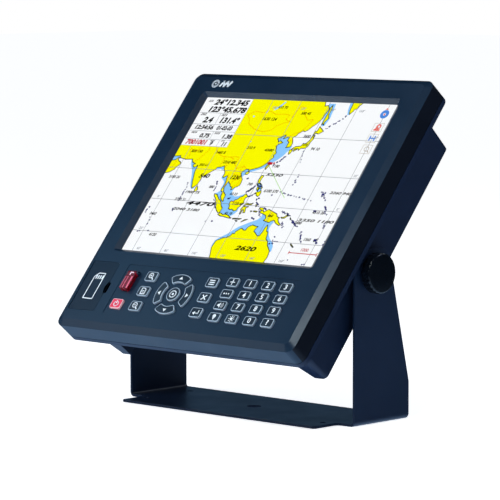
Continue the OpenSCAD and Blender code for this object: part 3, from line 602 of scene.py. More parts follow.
SMALL_ISLANDS = [
    coast(80, 9.8, 81.2, 8.7, 81.9, 7.3, 81.2, 6.2, 80.4, 6, 79.8, 7.2, 79.8, 8.4),
    coast(121.6, 25.2, 121.9, 24.8, 121.3, 23, 120.8, 22, 120.1, 23, 120.7, 24.6),
    coast(108.7, 19.3, 109.5, 20, 110.7, 20.1, 111, 19.6, 110.3, 18.5, 108.8, 18.5),
    coast(129.8, 33.3, 130.9, 33.9, 131.9, 33.1, 131.4, 31.5, 130.6, 31.1, 130.2, 32.2),
    coast(132.4, 33.5, 133.6, 34.2, 134.6, 33.9, 133.4, 33.2, 132.8, 32.8),
    coast(124.3, 12.5, 125.4, 11.3, 125.1, 10.2, 124.5, 11.2),
    coast(122, 11.8, 123.1, 11.1, 123.3, 9.1, 122.5, 9.8, 122, 10.6),
    coast(117.2, 8.4, 119.4, 11.2, 119.6, 10.7, 117.8, 8.4),
    coast(120.4, 13.4, 121.5, 12.9, 121.2, 12.2),
    coast(123.4, 11, 124, 10.9, 123.5, 9.5),
    coast(127.6, 1.9, 128.6, 1.2, 128, -0.6, 127.5, 0.6),
    coast(128.2, -3, 130.8, -3.2, 130.4, -3.8, 128.1, -3.5),
    coast(126, -3.2, 127.2, -3.3, 126.6, -3.8),
    coast(123.6, -10.3, 125.2, -8.7, 127.2, -8.4, 125, -9.6),
    coast(119, -8.4, 122.8, -8.3, 121.6, -8.9, 119.2, -8.8),
    coast(119, -9.5, 120.8, -9.8, 120.6, -10.3),
    coast(116.8, -8.5, 118.9, -8.3, 118.8, -8.8, 117, -9),
    coast(114.6, -8.2, 115.6, -8.3, 115.2, -8.8),
    coast(148.4, -5.6, 150.4, -5.5, 151.6, -4.2, 152.4, -4.3, 151.2, -6, 149.4, -6.3),
    coast(151, -2.8, 153, -4.4, 152.6, -4.8, 150.8, -3),
    coast(154.6, -5.4, 155.9, -6.6, 155.3, -6.7),
    coast(164, -20.2, 166.9, -22.2, 166.4, -22.3, 164.1, -20.9),
    coast(177.4, -17.6, 178.6, -17.8, 177.9, -18.2),
    coast(178.6, -16.8, 180, -16.3, 179, -16.9),
]

LANDMASSES = [ASIA, ARABIA, AUSTRALIA, NEW_GUINEA, BORNEO, SUMATRA, JAVA, SULAWESI, LUZON, MINDANAO,
              HONSHU, HOKKAIDO, SAKHALIN, KAMCHATKA] + SMALL_ISLANDS
SHALLOW_WATER = [
    coast(109, 21.6, 111, 19.9, 113.5, 20.7, 116, 21.6, 118.3, 22.4, 120.6, 23.8, 122.5, 25.8,
          125.3, 27.8, 127.5, 30, 128.7, 32, 129.9, 34, 130.3, 35.3, 127.5, 36.4, 126.5, 39.3,
          124, 41, 118, 41, 117, 38, 119, 35.5, 119.6, 31, 118.5, 27, 114, 23.6, 109, 22.5),
    coast(105.3, 19, 106, 21.6, 110, 22, 110, 20.4, 108.6, 18.2, 107.9, 17, 106.4, 17.4),
    coast(98.2, 8, 99, 14, 101.5, 14, 105, 11, 107, 10.3, 106.5, 8, 107.3, 6, 110, 4.8, 112.5, 5.2,
          115.5, 6.5, 117, 7.3, 117, 4, 117, -1, 117.2, -4.2, 116, -6, 114.5, -7.3, 110, -7,
          106, -6.5, 105, -4, 102, -1, 98.5, 3.3, 95.6, 5.9, 97, 6.6),
    coast(66, 25.2, 67, 22.9, 68.6, 20.9, 70.4, 19, 71.6, 17, 72.8, 14.6, 74.2, 11.5, 75.8, 8.8,
          77.4, 7.4, 79, 8.2, 78, 12, 74.6, 17, 74, 21, 70, 24),
    coast(86, 20.2, 88, 20.6, 90, 20.8, 92, 20.1, 92.6, 22.6, 89, 23, 86, 22),
    coast(94, 17.6, 93.9, 15.4, 95.4, 14.6, 97, 13.6, 97.6, 12, 97.6, 9, 98.6, 6.8, 99.5, 8,
          99.2, 14, 98, 17.6, 96, 17.4),
    coast(112.6, -25.5, 113, -22, 114.9, -20.4, 117.5, -18.7, 119.8, -17.2, 121.4, -15.4,
          124, -13.1, 126.5, -11.8, 129, -10.4, 131.5, -9.3, 133.8, -8.2, 135.3, -6.3, 135, -4.8,
          137.5, -4.9, 141, -7, 143.5, -7.6, 145.6, -8.8, 144.9, -10.2, 144.6, -12, 145.2, -14,
          146.8, -16.7, 148.9, -18.7, 151.8, -20.6, 153.4, -22.6, 154, -25.2, 152, -27, 145, -21,
          140, -20, 130, -18, 122, -21, 115, -24),
    coast(139.5, 54.8, 140.6, 52, 141.4, 47, 142.8, 45.4, 144.3, 46, 145.4, 49, 144.2, 54.8),
    coast(153.4, 60, 154.2, 53, 155.6, 50.6, 157, 51, 156.6, 54, 156.4, 60),
    coast(52, 27, 52, 24, 56, 25.2, 57.5, 25.2, 57.6, 26.6, 56, 27.4),
    coast(120.4, 14, 122.5, 13.2, 125, 12.4, 125.4, 9.8, 123.6, 8.6, 122, 9.5, 121.5, 12),
]

drawn("chart_sea", [box(LEFT, BOTTOM, RIGHT, TOP)], 0, SEA)
drawn("chart_shallows", SHALLOW_WATER, 1, SHALLOWS)
drawn("chart_land", LANDMASSES, 2, LAND)

LAKES = [
    coast(103.8, 51.4, 105.4, 51.6, 108, 53, 110, 54.8, 109, 54.8, 106, 52.7),
    coast(73.6, 45.2, 74.2, 46.4, 77, 46.7, 79, 46.6, 76, 46.3),
    coast(99.6, 50.2, 100.8, 51.6, 100.4, 50.2),
    coast(92, 48.9, 93.6, 48.6, 92.6, 48),
    coast(99.6, 36.9, 101, 36.7, 100.3, 36.5),
]
drawn("chart_lakes", LAKES, 3, SHALLOWS)

# Shoreline: a thin dark edge along the coasts, but not where land is cut off by the picture's edge
SHORE_WIDTH = 0.85
shore = []
for points in LANDMASSES:
    for (x0, y0), (x1, y1) in zip(points, points[1:] + points[:1]):
        sides = ((x0, x1, LEFT), (x0, x1, RIGHT), (y0, y1, TOP), (y0, y1, BOTTOM))
        on_edge = any(abs(a - edge) < TINY and abs(b - edge) < TINY for a, b, edge in sides)
        if not on_edge:
            shore += band([(x0, y0), (x1, y1)], SHORE_WIDTH)
drawn("chart_shoreline", shore, 4, SHORE)

# Grid of meridians and parallels, every twenty degrees
GRID_HALF = 0.22
grid = []
for lon in range(60, 181, 20):
    x = chart(lon, 0)[0]
    grid.append(box(x - GRID_HALF, BOTTOM, x + GRID_HALF, TOP))
for lat in (-20, 0, 20, 40):
    y = chart(MIDDLE_LON, lat)[1]
    grid.append(box(LEFT, y - GRID_HALF, RIGHT, y + GRID_HALF))
drawn("chart_grid", grid, 5, GRID)

# Borders: dots along lines
BORDERS = [
    coast(88, 49, 92, 50.6, 98, 50.2, 102, 51, 107, 49.8, 114, 50, 117, 49.6, 116, 47.8, 119.5, 47,
          116, 46.2, 112, 44.8, 110, 42.8, 105, 41.7, 98, 42.8, 92, 45.2, 91, 47, 88, 49),
    coast(119.5, 49, 121, 53, 124, 53.2, 127.5, 50, 131, 47.9, 134.7, 48.3, 133, 45.2, 131, 43),
    coast(61.5, 25.5, 63, 27.5, 61, 31.3, 66, 30, 70, 33.5, 71.5, 36.5, 75, 37),
    coast(68.5, 24, 71, 26, 74.5, 31, 74, 34, 77, 35.5, 79, 32.5, 81, 30.3, 85, 28.3, 88.2, 27.8,
          92, 27.8, 97, 28.3, 98.5, 27.5, 97.8, 24, 101, 21.6, 105, 23.2, 108, 21.7),
    coast(88.2, 27.8, 88.8, 26, 88.2, 22.5), coast(92, 25, 92.6, 22),
    coast(92, 27.8, 95, 27, 93.5, 24, 92.6, 22),
    coast(97.7, 18, 98.8, 15.5, 99.2, 13, 99, 10.6),
    coast(101, 21.6, 101, 18, 104, 18, 105.5, 15, 103, 14.4, 102.4, 12),
    coast(105, 23.2, 104, 20.5, 107.6, 15.3, 107.4, 12, 104.5, 10.5),
    coast(110, 1.7, 112.5, 1.5, 115, 2, 115.8, 4.3), coast(141, -2.7, 141, -6, 141, -9.1),
    coast(124.4, 40, 128, 42, 130.6, 42.4), coast(126, 37.8, 128.4, 38.6),
    coast(100.2, 6.4, 101.8, 5.8, 102.1, 6.2),
    coast(56, 24.5, 55.5, 22, 55, 20, 52, 18.6),
]
DOT_R, DOT_STEP = 0.55, 2.1
dots = []
for line in BORDERS:
    spare = 0.0      # where the next dot falls beyond the start of a stretch
    for (x0, y0), (x1, y1) in zip(line, line[1:]):
        d = math.hypot(x1 - x0, y1 - y0)
        t = spare
        while t < d:
            dots.append(circle(x0 + (x1 - x0) * t / d, y0 + (y1 - y0) * t / d, DOT_R, 6))
            t += DOT_STEP
        spare = t - d
drawn("chart_borders", dots, 6, BORDER)

# Small islands: chains of dark dots, each from one longitude and latitude to another, and their number
ISLET_MARGIN = 3.0
CHAINS = [
    ((130.2, 30.4), (124.2, 24.4), 9), ((145.6, 44.2), (156, 50.4), 12),
    ((139.6, 34.2), (142.2, 26.8), 5), ((144.8, 20.3), (145.2, 14), 6),
    ((134.5, 7.8), (134.2, 6.8), 2), ((138, 9.6), (163, 5.4), 12), ((166, 11.6), (171.8, 5.8), 14),
    ((169, 11), (167.6, 8.6), 6), ((173, 3.2), (176.8, -2.6), 10), ((166.9, -0.6), (169.6, -0.9), 2),
    ((157, -7.4), (162.3, -10.8), 12), ((156.6, -7), (160, -9.2), 8), ((166.5, -13.4), (170, -19.6), 12),
    ((178, -7.3), (179.8, -10.4), 4), ((177.4, -16.8), (180.9, -19), 10), ((185, -21), (185.6, -15.6), 4),
    ((73, 7), (73.2, -0.6), 9), ((72.2, 11.2), (73.8, 8.4), 3), ((71.6, -5.2), (72.4, -7.2), 3),
    ((92.8, 13.5), (93.8, 6.9), 7), ((96.8, 2.4), (101.6, -3.4), 7), ((55.4, -4.6), (53.9, -9.4), 5),
    ((57.4, -20.3), (55.5, -21.2), 3), ((59.6, -10.4), (59.8, -16.6), 3), ((63.4, -19.7), (63.2, -20), 1),
    ((125.4, 3.6), (126.9, 4.6), 3), ((127, 2.2), (129.6, -0.4), 9), ((130.8, -1.8), (134.6, -6.4), 8),
    ((119.6, 5.2), (122, 6.8), 6), ((116.4, 7.6), (119.9, 11.8), 8), ((128.8, -7.2), (131.8, -8.2), 5),
    ((150.8, -8.6), (153.2, -11.5), 7), ((147, -2), (154.4, -4.6), 10), ((149, -21.2), (155.6, -19.4), 4),
    ((111.6, 16.6), (112.8, 15.8), 3), ((105.8, 3), (108.4, 3.9), 4), ((96.8, -12.1), (105.6, -10.4), 2),
    ((134.2, -0.8), (136.4, -1.9), 4), ((121.6, 12.4), (124.4, 11.9), 5), ((140.6, 9.4), (147.6, 7.4), 4),
    ((168, -44), (159.1, -31.4), 1), ((167.9, -29), (168, -29), 1), ((150.6, -17), (152.6, -22), 4),
    ((178.2, -30.6), (180, -30.6), 2),
]
draw = random.Random(7)
islets = []
for (lon0, lat0), (lon1, lat1), count in CHAINS:
    for i in range(count):
        t = (i + 0.5) / count
        x, y = chart(lon0 + (lon1 - lon0) * t + draw.uniform(-0.5, 0.5),
                     lat0 + (lat1 - lat0) * t + draw.uniform(-0.4, 0.4))
        across = LEFT + ISLET_MARGIN < x < RIGHT - ISLET_MARGIN
        if across and BOTTOM + ISLET_MARGIN < y < TOP - ISLET_MARGIN:
            r = draw.uniform(0.75, 1.4)
            outline = []
            for k in range(6):
                a = k * math.pi / 3
                dx = r * math.cos(a) * draw.uniform(0.7, 1.2)
                dy = r * math.sin(a) * draw.uniform(0.6, 1)
                outline.append((x + dx, y + dy))
            islets.append(outline)
drawn("chart_islets", islets, 6, ISLET)

# Depths at sea and heights on land, as plain numerals, the largest at the places of the chart's large names
written("chart_large_figures", [
    ("4470", -57.8, -0.8, 4.4, 38), ("2620", 30.5, -47, 4.9, 27), ("540", -71.7, 31.5, 4.6, 14),
    ("1230", -30.8, 32, 4.6, 12.3),
], 7, INK, bold=0.05, lean=0.25)
written("chart_small_figures", [
    ("3350 1180", 97.2, -10.5, 3.0, 45), ("2260 940", 109.5, 22, 2.9, 27), ("5230", 16.6, 37.7, 2.9, 22),
    ("1900 75", -75.5, 11.7, 2.9, 19), ("2040 3180", -71.4, -8.5, 3.0, 36), ("4380", -7.1, 66, 2.9, 12),
], 7, INK, bold=0.04, lean=0.25)


def numbers_at(*rows):
    """Words for written() from (text, longitude, latitude, height) rows."""
    return [(text, *chart(lon, lat), height) for text, lon, lat, height in rows]


written("chart_soundings", numbers_at(
    ("3180 20", 60.6, 14.2, 3.2), ("2750 31", 73.6, 0.6, 3.2), ("3460", 60, -9.4, 3.2),
    ("4120", 68, -21.8, 3.4), ("6100 570", 132.5, 9.4, 3.4), ("1180", 126.5, 24.2, 3.2),
    ("4310 26", 171, -1.4, 3.2), ("2480", 161.4, -8.3, 3.2), ("1560", 173, -17.4, 3.2),
    ("94 10", 146.5, 34.6, 3.4), ("3600 12", 138, 40.6, 3.2), ("60 23", 108.4, 6.2, 3),
    ("45 18", 112, -5.8, 3), ("700", 115.8, 12.8, 3), ("880", 90.6, 9.6, 3),
), 7, INK, bold=0.04, lean=0.2)
written("chart_heights", numbers_at(
    ("820 150", 66.4, 30, 3.2), ("1460 8", 83.6, 30, 3.2), ("1630 124", 104.5, 47.6, 3.6),
    ("310 9", 102.8, 33.4, 3.2), ("2210 480", 93.6, 24.8, 3.2), ("350 61", 76.6, 22.4, 3),
    ("1120 40", 114.6, 0.4, 3), ("860", 141, -5.4, 3), ("410 70", 109.5, 52.6, 3.2),
    ("300 45", 127.4, 50.6, 3.2), ("270", 138.4, 36.4, 2.8),
), 7, INK, bold=0.04, lean=0.2)
marks = [(f"{lon}°", lon + 4, -30, 2.8) for lon in range(60, 180, 20)]
marks += [(f"{lon}°", lon + 4, 52.4, 2.8) for lon in range(100, 180, 20)]
marks += [(f"{lat}°", 182.5, lat + 1.4, 2.8) for lat in (0, 20, 40)]
marks += [(f"{lat}°", 57.4, lat + 1.4, 2.8) for lat in (-20, 0)]
written("chart_degrees", numbers_at(*marks), 7, PANEL_RULE, bold=0.015)

# Own ship, its course line, and the scale bar
ship_x, ship_y = chart(121.4, 25.6)
course_end = chart(143.8, 6.1)
HULL = [(-2.6, -1.2), (3.4, -1.6), (3.8, 1.3), (-1.8, 1.9)]
BOW = [(4.6, -1), (7.4, 0.1), (4.6, 2.3)]
drawn("course_line", band([(ship_x + 1, ship_y - 3), course_end], 0.55), 7, CHART_GREEN)
drawn("ship_marker", [moved(HULL, ship_x, ship_y), moved(BOW, ship_x, ship_y)], 7, CHART_RED)
SCALE_L, SCALE_R, SCALE_Y = 86.0, 120.3, -47.0
SCALE_HALF, SCALE_END_W, SCALE_END_H = 0.45, 0.4, 1.9
drawn("scale_bar", [
    box(SCALE_L, SCALE_Y - SCALE_HALF, SCALE_R, SCALE_Y + SCALE_HALF),
    centred_box(SCALE_L, SCALE_Y, SCALE_END_W, SCALE_END_H),
    centred_box(SCALE_R, SCALE_Y, SCALE_END_W, SCALE_END_H),
], 7, CHART_RED)
written("scale_figures", [("1000", (SCALE_L + SCALE_R) / 2, SCALE_Y + 4, 3.6)], 7, CHART_RED, bold=0.02)

# Data panel at the top left: its rules, its values, and small numbers in place of their labels
PANEL_R, PANEL_B = -62.8, 66.5
ROW_LINES = [107, 93, 84.8, 75.1]
RULE = 0.2           # half the width of a rule
COLUMN_LINES = [(-95.5, 93, 107), (-91.5, 75.1, 84.8), (-77.4, PANEL_B, 75.1)]
drawn("panel_ground", [box(LEFT, PANEL_B, PANEL_R, TOP)], 8, PANEL)
rules = [box(LEFT, y - RULE, PANEL_R, y + RULE) for y in ROW_LINES]
rules += [box(PANEL_R - 2 * RULE, PANEL_B, PANEL_R, TOP)]
rules += [box(LEFT, PANEL_B, PANEL_R, PANEL_B + 2 * RULE)]
rules += [box(x - RULE, low, x + RULE, high) for x, low, high in COLUMN_LINES]
drawn("panel_rules", rules, 9, PANEL_RULE)
written("panel_figures", [
    ("24°12.345", -89.2, 120, 6.4, 46), ("123°45.678", -90.6, 111.1, 6.4, 50),
    ("2.4", -108.2, 98, 6.6, 13), ("131.4°", -79.8, 98.2, 6.6, 25),
    ("12:34:56", -108, 89, 4.8, 24.5), ("01-02-03", -80.1, 89, 4.8, 20.6),
    ("0.75", -101, 79, 4.8, 13.5), ("1.38", -71, 79, 4.8, 12.7), ("9", -86.7, 70, 4.8, 3.4),
    ("11", -69.4, 70, 4.8, 5.6),
], 9, INK, bold=0.065, lean=0.2)
written("panel_small_figures", [
    ("101", -118, 121.2, 2.8, 6), ("202", -118, 104.9, 2.8, 8), ("303", -90.2, 104.8, 2.8, 8),
    ("404", -117.4, 82.6, 2.4, 8), ("505", -86, 82.6, 2.4, 8), ("66", -86.6, 73.6, 1.8, 6),
    ("77", -73, 73.6, 1.8, 5),
], 9, INK, bold=0.03, lean=0.25)
written("panel_alarm", [("7001001", -107, 70.8, 5.6, 28)], 9, CHART_RED, bold=0.06, lean=0.2)

# Column of picture buttons at the right, each a sign in a thin frame, and the compass above them
ICON_X, ICON_ROWS = 112.4, (98.8, 86.1, 73.3)
ICON_HALF_W, ICON_HALF_H = 5.7, 4.9
RED_SIGN = band(circle(0.5, 1, 2.2, 16), 1.5, closed=True)
RED_SIGN += band([(-3.4, -2.9), (3, -2.9)], 1.8) + band([(-2.6, -2.9), (-0.8, 0.4)], 1.6)
BLUE_SIGN = [box(x - 0.8, -2.7, x + 0.8, 2.9) for x in (-2.9, 2.9)]
BLUE_SIGN += [centred_box(0, 0, 2.9, 0.7)]
GREY_SIGN = band(circle(0, 0.4, 2.6, 18), 0.7, closed=True)
GREY_SIGN += band([(1.9, -1.6), (3.8, -3.4)], 0.9)
frames = [band(centred_box(ICON_X, up, ICON_HALF_W, ICON_HALF_H), 0.4, closed=True) for up in ICON_ROWS]
drawn("icon_frames", sum(frames, []), 8, ICON_GREY)
ICONS = [("red", RED_SIGN, ICON_RED), ("blue", BLUE_SIGN, ICON_BLUE), ("grey", GREY_SIGN, ICON_GREY)]
for (colour, shapes, material), up in zip(ICONS, ICON_ROWS):
    drawn(f"icon_{colour}_shape", [moved(shape, ICON_X, up) for shape in shapes], 7, material)
COMPASS_X, COMPASS_Y = 111.9, 114.3
NEEDLE = [[(-1.2, -1.2), (1.2, -1.2), (0, 1.8)], [(-2, 5.4), (2, 5.4), (0, 7.4)]]
drawn("compass_ring", band(circle(COMPASS_X, COMPASS_Y, 3.3, 28), 3.2, closed=True), 7, ICON_BLUE)
drawn("compass_needle", [moved(shape, COMPASS_X, COMPASS_Y) for shape in NEEDLE], 8, ICON_RED)

# ---- key legends: numerals and plain signs, printed on the key tops ----

KEY_TOP_OUT = 1.5
SUNK = 0.02          # how far a print starts below the surface it stands on
INK_T = 0.06
PRINT = (KEY_TOP_OUT - SUNK, KEY_TOP_OUT + INK_T)
PAD_X = [46.0, 68.2, 90.4, 112.6]
PAD_Y = [-89.0, -102.0, -115.0, -128.0]
NUMERALS = {"1": (1, 0), "2": (2, 0), "3": (3, 0), "4": (1, 1), "5": (2, 1), "6": (3, 1),
            "7": (1, 2), "8": (2, 2), "9": (3, 2), "0": (2, 3)}


def legend(name, text, x, y, height, bold):
    figures("legend_" + name, [(text, x, y, height)], *PRINT, PRINT_WHITE, "key_plastic",
            body="key_" + name, bold=bold)


def sign(key, x, y, shapes):
    """A sign on a key, of shapes drawn about the middle of it."""
    plate(key.replace("key", "legend"), [moved(s, x, y) for s in shapes], *PRINT, PRINT_WHITE,
          "key_plastic", body=key)


def arrow_head(angle, reach, size):
    """A small triangle pointing along angle, its tip at reach."""
    c, s = math.cos(angle), math.sin(angle)
    corners = [(reach, 0), (reach - size, size * 0.72), (reach - size, -size * 0.72)]
    return [(x * c - y * s, x * s + y * c) for x, y in corners]


for numeral, (column, row) in NUMERALS.items():
    legend(numeral, numeral, PAD_X[column], PAD_Y[row], 5.4, bold=0.025)
legend("help", "?", PAD_X[3], PAD_Y[3], 5.6, bold=0.03)

# The two lens keys, the page key, and the three keys right of the cursor ring
LEFT_X, MID_X = -58.6, 21.2
ROWS = [-91.5, -108.4, -125.4]
lens = band(circle(-0.6, 0.8, 2.6, 18), 1.0, closed=True) + band([(1.2, -1), (3.4, -3.4)], 1.3)
minus = [box(-2, 0.4, 0.8, 1.2)]
upright = [box(-1, -0.6, -0.2, 2.2)]
sheet = band([(-2.6, -3.2), (-2.6, 3.2), (1, 3.2), (2.6, 1.6), (2.6, -3.2)], 0.9, closed=True)
lines = [box(-1.4, -1.7, 1.4, -1), box(-1.4, -0.1, 1.4, 0.6)]
sign("key_zoom_in", LEFT_X, ROWS[0], lens + minus + upright)
sign("key_zoom_out", LEFT_X, ROWS[2], lens + minus)
sign("key_page", LEFT_X, ROWS[1], sheet + lines)
sign("key_menu", MID_X, ROWS[0], [box(-3.4, y - 0.5, 3.4, y + 0.5) for y in (-2.2, 0, 2.2)])
sign("key_clear", MID_X, ROWS[1],
     band([(-2.4, -2.4), (2.4, 2.4)], 1.2) + band([(-2.4, 2.4), (2.4, -2.4)], 1.2))
sign("key_enter", MID_X, ROWS[2],
     band([(3, 2.4), (3, -0.8), (-1.6, -0.8)], 0.8) + [[(-3.8, -0.8), (-1.2, 1.2), (-1.2, -2.8)]])

# The signs of the number pad
speaker = [[(-3.4, -1), (-2, -1), (0, -2.8), (0, 2.8), (-2, 1), (-3.4, 1)]]
for r, n in ((2, 8), (3.5, 10)):
    speaker += band(circle(0, 0, r, n, start=-0.8, sweep=1.6), 0.55)
sun = [circle(0, 0, 1.5, 14)]
for k in range(8):
    a = k * math.pi / 4
    sun += band([(r * math.cos(a), r * math.sin(a)) for r in (2.3, 3.5)], 0.55)
sign("key_plus", PAD_X[0], PAD_Y[0], [centred_box(0, 0, 3, 0.45), centred_box(0, 0, 0.45, 3)])
sign("key_function", PAD_X[0], PAD_Y[1], [circle(x, 0, 0.85, 12) for x in (-2.8, 0, 2.8)])
sign("key_sound", PAD_X[0], PAD_Y[2], speaker)
sign("key_mark", PAD_X[0], PAD_Y[3], [circle(0, 1, 2.1, 16), [(-1.7, 0), (1.7, 0), (0, -3.4)]])
sign("key_brightness", PAD_X[1], PAD_Y[3], sun)

# The power key and the cursor ring
POWER_X, POWER_Y = -84.3, -125.0
DISC_X, DISC_Y = -19.3, -108.4
ARROW_REACH, ARROW_SIZE = 19.9, 3.2
open_ring = circle(0, -0.3, 2.7, 18, start=math.radians(125), sweep=math.radians(290))
sign("key_power", POWER_X, POWER_Y, band(open_ring, 1.0) + [box(-0.5, 0.2, 0.5, 3.6)])
sign("key_centre", DISC_X, DISC_Y,
     band(circle(0, 0, 3.6, 24), 1.0, closed=True) + [circle(0, 0, 1.3, 12)])
for i, key in enumerate(("key_right", "key_up", "key_left", "key_down")):
    sign(key, DISC_X, DISC_Y, [arrow_head(math.radians(90 * i), ARROW_REACH, ARROW_SIZE)])

# ---- signs on the bezel and the card door ----

EMBLEM_X, EMBLEM_Y = -118.2, 138.6
WAVE_START, WAVE_STEP, WAVE_HALF = 7.4, 2.7, 2.9
wave = [(WAVE_START + WAVE_STEP * i, WAVE_HALF if i % 2 else -WAVE_HALF) for i in range(6)]
emblem = band(circle(0, 0, 3.7, 24), 2.2, closed=True) + band(wave, 2.3)
emblem += [circle(0, 0, 1.1, 12)]
plate("emblem", [moved(shape, EMBLEM_X, EMBLEM_Y) for shape in emblem],
      0.0, 0.12, PRINT_SILVER, "case_paint")

# The door's sign: the outline of a memory card with one corner cut, and its four contacts
CARD_L, CARD_R, CARD_B, CARD_T, CARD_CUT = -133.8, -121.2, -122, -92.7, 4.3
card = [(CARD_L, CARD_B), (CARD_L, CARD_T - CARD_CUT), (CARD_L + CARD_CUT, CARD_T), (CARD_R, CARD_T),
        (CARD_R, CARD_B)]
contacts = [box(-131.6 + 2.8 * i, -99.4, -130.2 + 2.8 * i, -95.2) for i in range(4)]
plate("door_sign", band(card, 0.9, closed=True) + contacts, 0.0, 0.08, PRINT_WHITE, "door_paint",
      body="door")

# The guard cover's raised ribs in lighter red, the wide right one partly a painted highlight of its lit
# side, and a painted highlight at its top where a glint falls
GUARD_X, GUARD_TOP, RIB_LOW, RIB_HIGH = -83.4, 4.2, -108.6, -95.6
RAISED = (GUARD_TOP - SUNK, GUARD_TOP + 0.15)
RIBS = [(-4.7, 0.6), (-1.6, 0.8), (3.7, 1.9)]      # place across the cover, and width
GLINT_L, GLINT_R, GLINT_B, GLINT_T, GLINT_W = GUARD_X - 1.2, GUARD_X + 3.0, -94.0, -90.4, 1.2
ribs = [box(GUARD_X + x - w / 2, RIB_LOW, GUARD_X + x + w / 2, RIB_HIGH) for x, w in RIBS]
glint_plates = [box(GLINT_L, GLINT_T - GLINT_W, GLINT_R, GLINT_T),
        box(GLINT_L, GLINT_B, GLINT_L + GLINT_W, GLINT_T - GLINT_W)]
plate("guard_frame", ribs, *RAISED, GUARD_RIB_AND_SHEEN, "guard_red", body="guard")
plate("guard_painted_glint_plates", glint_plates, *RAISED, GUARD_PAINTED_GLINT, "guard_red", body="guard")

# The finger notch beside the door gets painted shade, black plates standing in for the shade in it: on its
# floor, on the door's edge within it, and a crescent on the door's face, where a finger reaches in
NOTCH_LEFT, NOTCH_RIGHT, NOTCH_LOW, NOTCH_HIGH, NOTCH_DEEP = -110.0, -107.1, -114.4, -102.0, -2.4
plate("notch_floor", [box(NOTCH_LEFT + 0.4, NOTCH_LOW + 0.4, NOTCH_RIGHT - 0.1, NOTCH_HIGH - 0.4)],
      NOTCH_DEEP, NOTCH_DEEP + 0.05, NOTCH_PAINTED_SHADE, "case_paint")
plate("notch_edge", [box(NOTCH_LEFT, NOTCH_LOW + 0.6, NOTCH_LEFT + 0.12, NOTCH_HIGH - 0.6)],
      NOTCH_DEEP + 0.1, -0.35, NOTCH_PAINTED_SHADE, "door_paint", body="door")
SCOOP_LOW, SCOOP_HIGH, SCOOP_DEEP, SCOOP_STEPS = -116.0, -100.4, 2.9, 10
scoop = []
for i in range(SCOOP_STEPS + 1):
    along = i / SCOOP_STEPS
    scoop.append((NOTCH_LEFT - SCOOP_DEEP * math.sin(math.pi * along),
                  SCOOP_LOW + (SCOOP_HIGH - SCOOP_LOW) * along))
plate("notch_scoop", [scoop], 0.0, 0.1, NOTCH_PAINTED_SHADE, "door_paint", body="door")

# ---- floor, light and camera ----

FLOOR_GAP = 0.0002
FLOOR_HALF = 12
FLOOR_GLOW = 0.8
floor_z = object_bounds()[0].z - FLOOR_GAP
floor_mesh = bpy.data.meshes.new("floor")
work = bmesh.new()
bmesh.ops.create_grid(work, x_segments=1, y_segments=1, size=FLOOR_HALF)
work.transform(Matrix.Translation((0, 0, floor_z)))
work.to_mesh(floor_mesh)
work.free()
floor = add_object("floor", floor_mesh)
floor_white = surface("floor_white", "f4f5f6", rough=0.9, grain=40, bump=0.0, vary=0.01, specular=0.05,
                      Emission_Color=(1, 1, 1, 1), Emission_Strength=FLOOR_GLOW)
give(floor, floor_white)
floor.visible_glossy = False

scene = bpy.context.scene
scene.view_settings.view_transform = "Standard"
scene.view_settings.look = "None"


def studio():
    """A world that the camera sees white, that lights dull surfaces evenly and shiny ones from below."""
    world = bpy.data.worlds.new("studio")
    scene.world = world
    world.use_nodes = True
    nodes, link = world.node_tree.nodes, world.node_tree.links.new
    add = nodes.new
    path = add("ShaderNodeLightPath")
    seen = preset(add("ShaderNodeBackground"), Color=(1, 1, 1, 1), Strength=1.0)
    even = preset(nodes["Background"], Color=(0.86, 0.93, 1.0, 1), Strength=0.23)
    # Shiny surfaces see a dark room above the horizon and the pale floor's glow below it
    room = preset(add("ShaderNodeBackground"), Color=(0.45, 0.68, 1.0, 1))
    direction = add("ShaderNodeSeparateXYZ")
    link(add("ShaderNodeTexCoord").outputs["Generated"], direction.inputs[0])
    glow = preset(add("ShaderNodeMapRange"), From_Min=-0.2, From_Max=-0.8, To_Min=0.015, To_Max=1.5)
    link(direction.outputs["Z"], glow.inputs["Value"])
    link(glow.outputs["Result"], room.inputs["Strength"])

    def mixed(ray, first, second):
        """The first shader, but the second for rays of the kind named."""
        mixer = add("ShaderNodeMixShader")
        for value, socket in zip((path.outputs[ray], first.outputs[0], second.outputs[0]), mixer.inputs):
            link(value, socket)
        return mixer

    view = mixed("Is Camera Ray", mixed("Is Glossy Ray", even, room), seen)
    link(view.outputs[0], nodes["World Output"].inputs["Surface"])


studio()


def softbox(name, direction, distance, size, power, aim=(0, 0, 0.15), tint=(1, 1, 1)):
    """A lamp of that width and height, at that distance from its aim, which it faces."""
    data = bpy.data.lights.new(name, "AREA")
    data.shape = "RECTANGLE"
    data.size, data.size_y = size
    data.energy = power
    data.color = tint
    lamp = bpy.data.objects.new(name, data)
    scene.collection.objects.link(lamp)
    lamp.location = Vector(aim) + Vector(direction).normalized() * distance
    lamp.rotation_euler = (-Vector(direction)).to_track_quat("-Z", "Y").to_euler()
    lamp.visible_camera = False


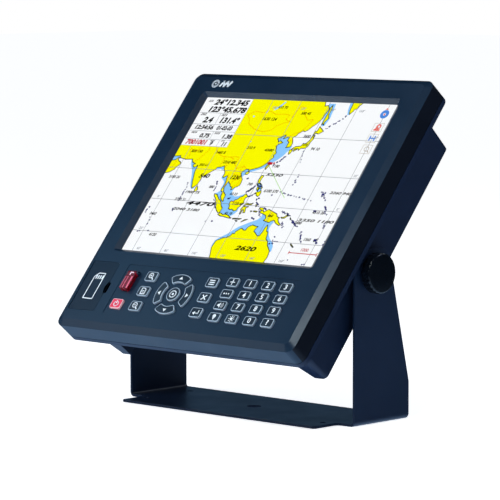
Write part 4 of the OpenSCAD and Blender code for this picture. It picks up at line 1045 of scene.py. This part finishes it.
softbox("overhead", (-0.12, -0.46, 0.88), 1.6, (0.55, 0.55), 7.8)
softbox("front_left", (-0.686, -0.76, 0.2), 2.4, (0.7, 0.5), 5.0, tint=(0.8, 0.92, 1.0))
softbox("rim_low", (-0.686, -0.711, -0.146), 0.5, (0.24, 0.07), 0.5, aim=FACE @ Vector((10, 128, 0)) * MM,
        tint=(0.85, 0.94, 1.0))
softbox("back_fill", (0.1, 0.75, 0.66), 2.0, (0.8, 0.8), 3, tint=(0.8, 0.9, 1.0))
softbox("back_right", (0.72, 0.5, 0.48), 0.45, (0.15, 0.15), 0.35, aim=(0.16, 0.1, 0.3),
        tint=(0.6, 0.7, 1.0))
softbox("back_left", (-0.686, 0.721, 0.16), 2.4, (1.4, 0.6), 0.9, tint=(0.3, 0.6, 1.0))
softbox("low_left", (-0.686, -0.22, 0.694), 0.6, (0.22, 0.16), 0.22, aim=FACE @ Vector((-30, -175, 0)) * MM,
        tint=(0.4, 0.72, 1.0))
softbox("low_right", (0.21, -0.436, 0.875), 0.5, (0.12, 0.12), 1.1, aim=FACE @ Vector((150, -170, 0)) * MM,
        tint=(0.8, 0.95, 1.0))

# The camera, from its place about the tilt axis
AZIMUTH, ELEVATION, ROLL = 0.7600931, 0.0958314, -0.0022967
DISTANCE = 2.80454
LOOK_AT = PIVOT * MM + Vector((-0.0072, 0, 0.01084))
LENS_MM, SENSOR_MM = 212.73, 36
level = math.cos(ELEVATION)
back = Vector((math.sin(AZIMUTH) * level, -math.cos(AZIMUTH) * level, math.sin(ELEVATION)))
side = Vector((0, 0, 1)).cross(back).normalized()
over = back.cross(side)
c, s = math.cos(ROLL), math.sin(ROLL)
right_axis = side * c + over * s
up_axis = over * c - side * s
camera_data = bpy.data.cameras.new("camera")
camera_data.lens = LENS_MM
camera_data.sensor_width = SENSOR_MM
camera_data.clip_start, camera_data.clip_end = 0.05, 50
camera = bpy.data.objects.new("camera", camera_data)
scene.collection.objects.link(camera)
eye = LOOK_AT + back * DISTANCE
camera.matrix_world = Matrix((
    (right_axis.x, up_axis.x, back.x, eye.x),
    (right_axis.y, up_axis.y, back.y, eye.y),
    (right_axis.z, up_axis.z, back.z, eye.z),
    (0, 0, 0, 1),
))
scene.camera = camera
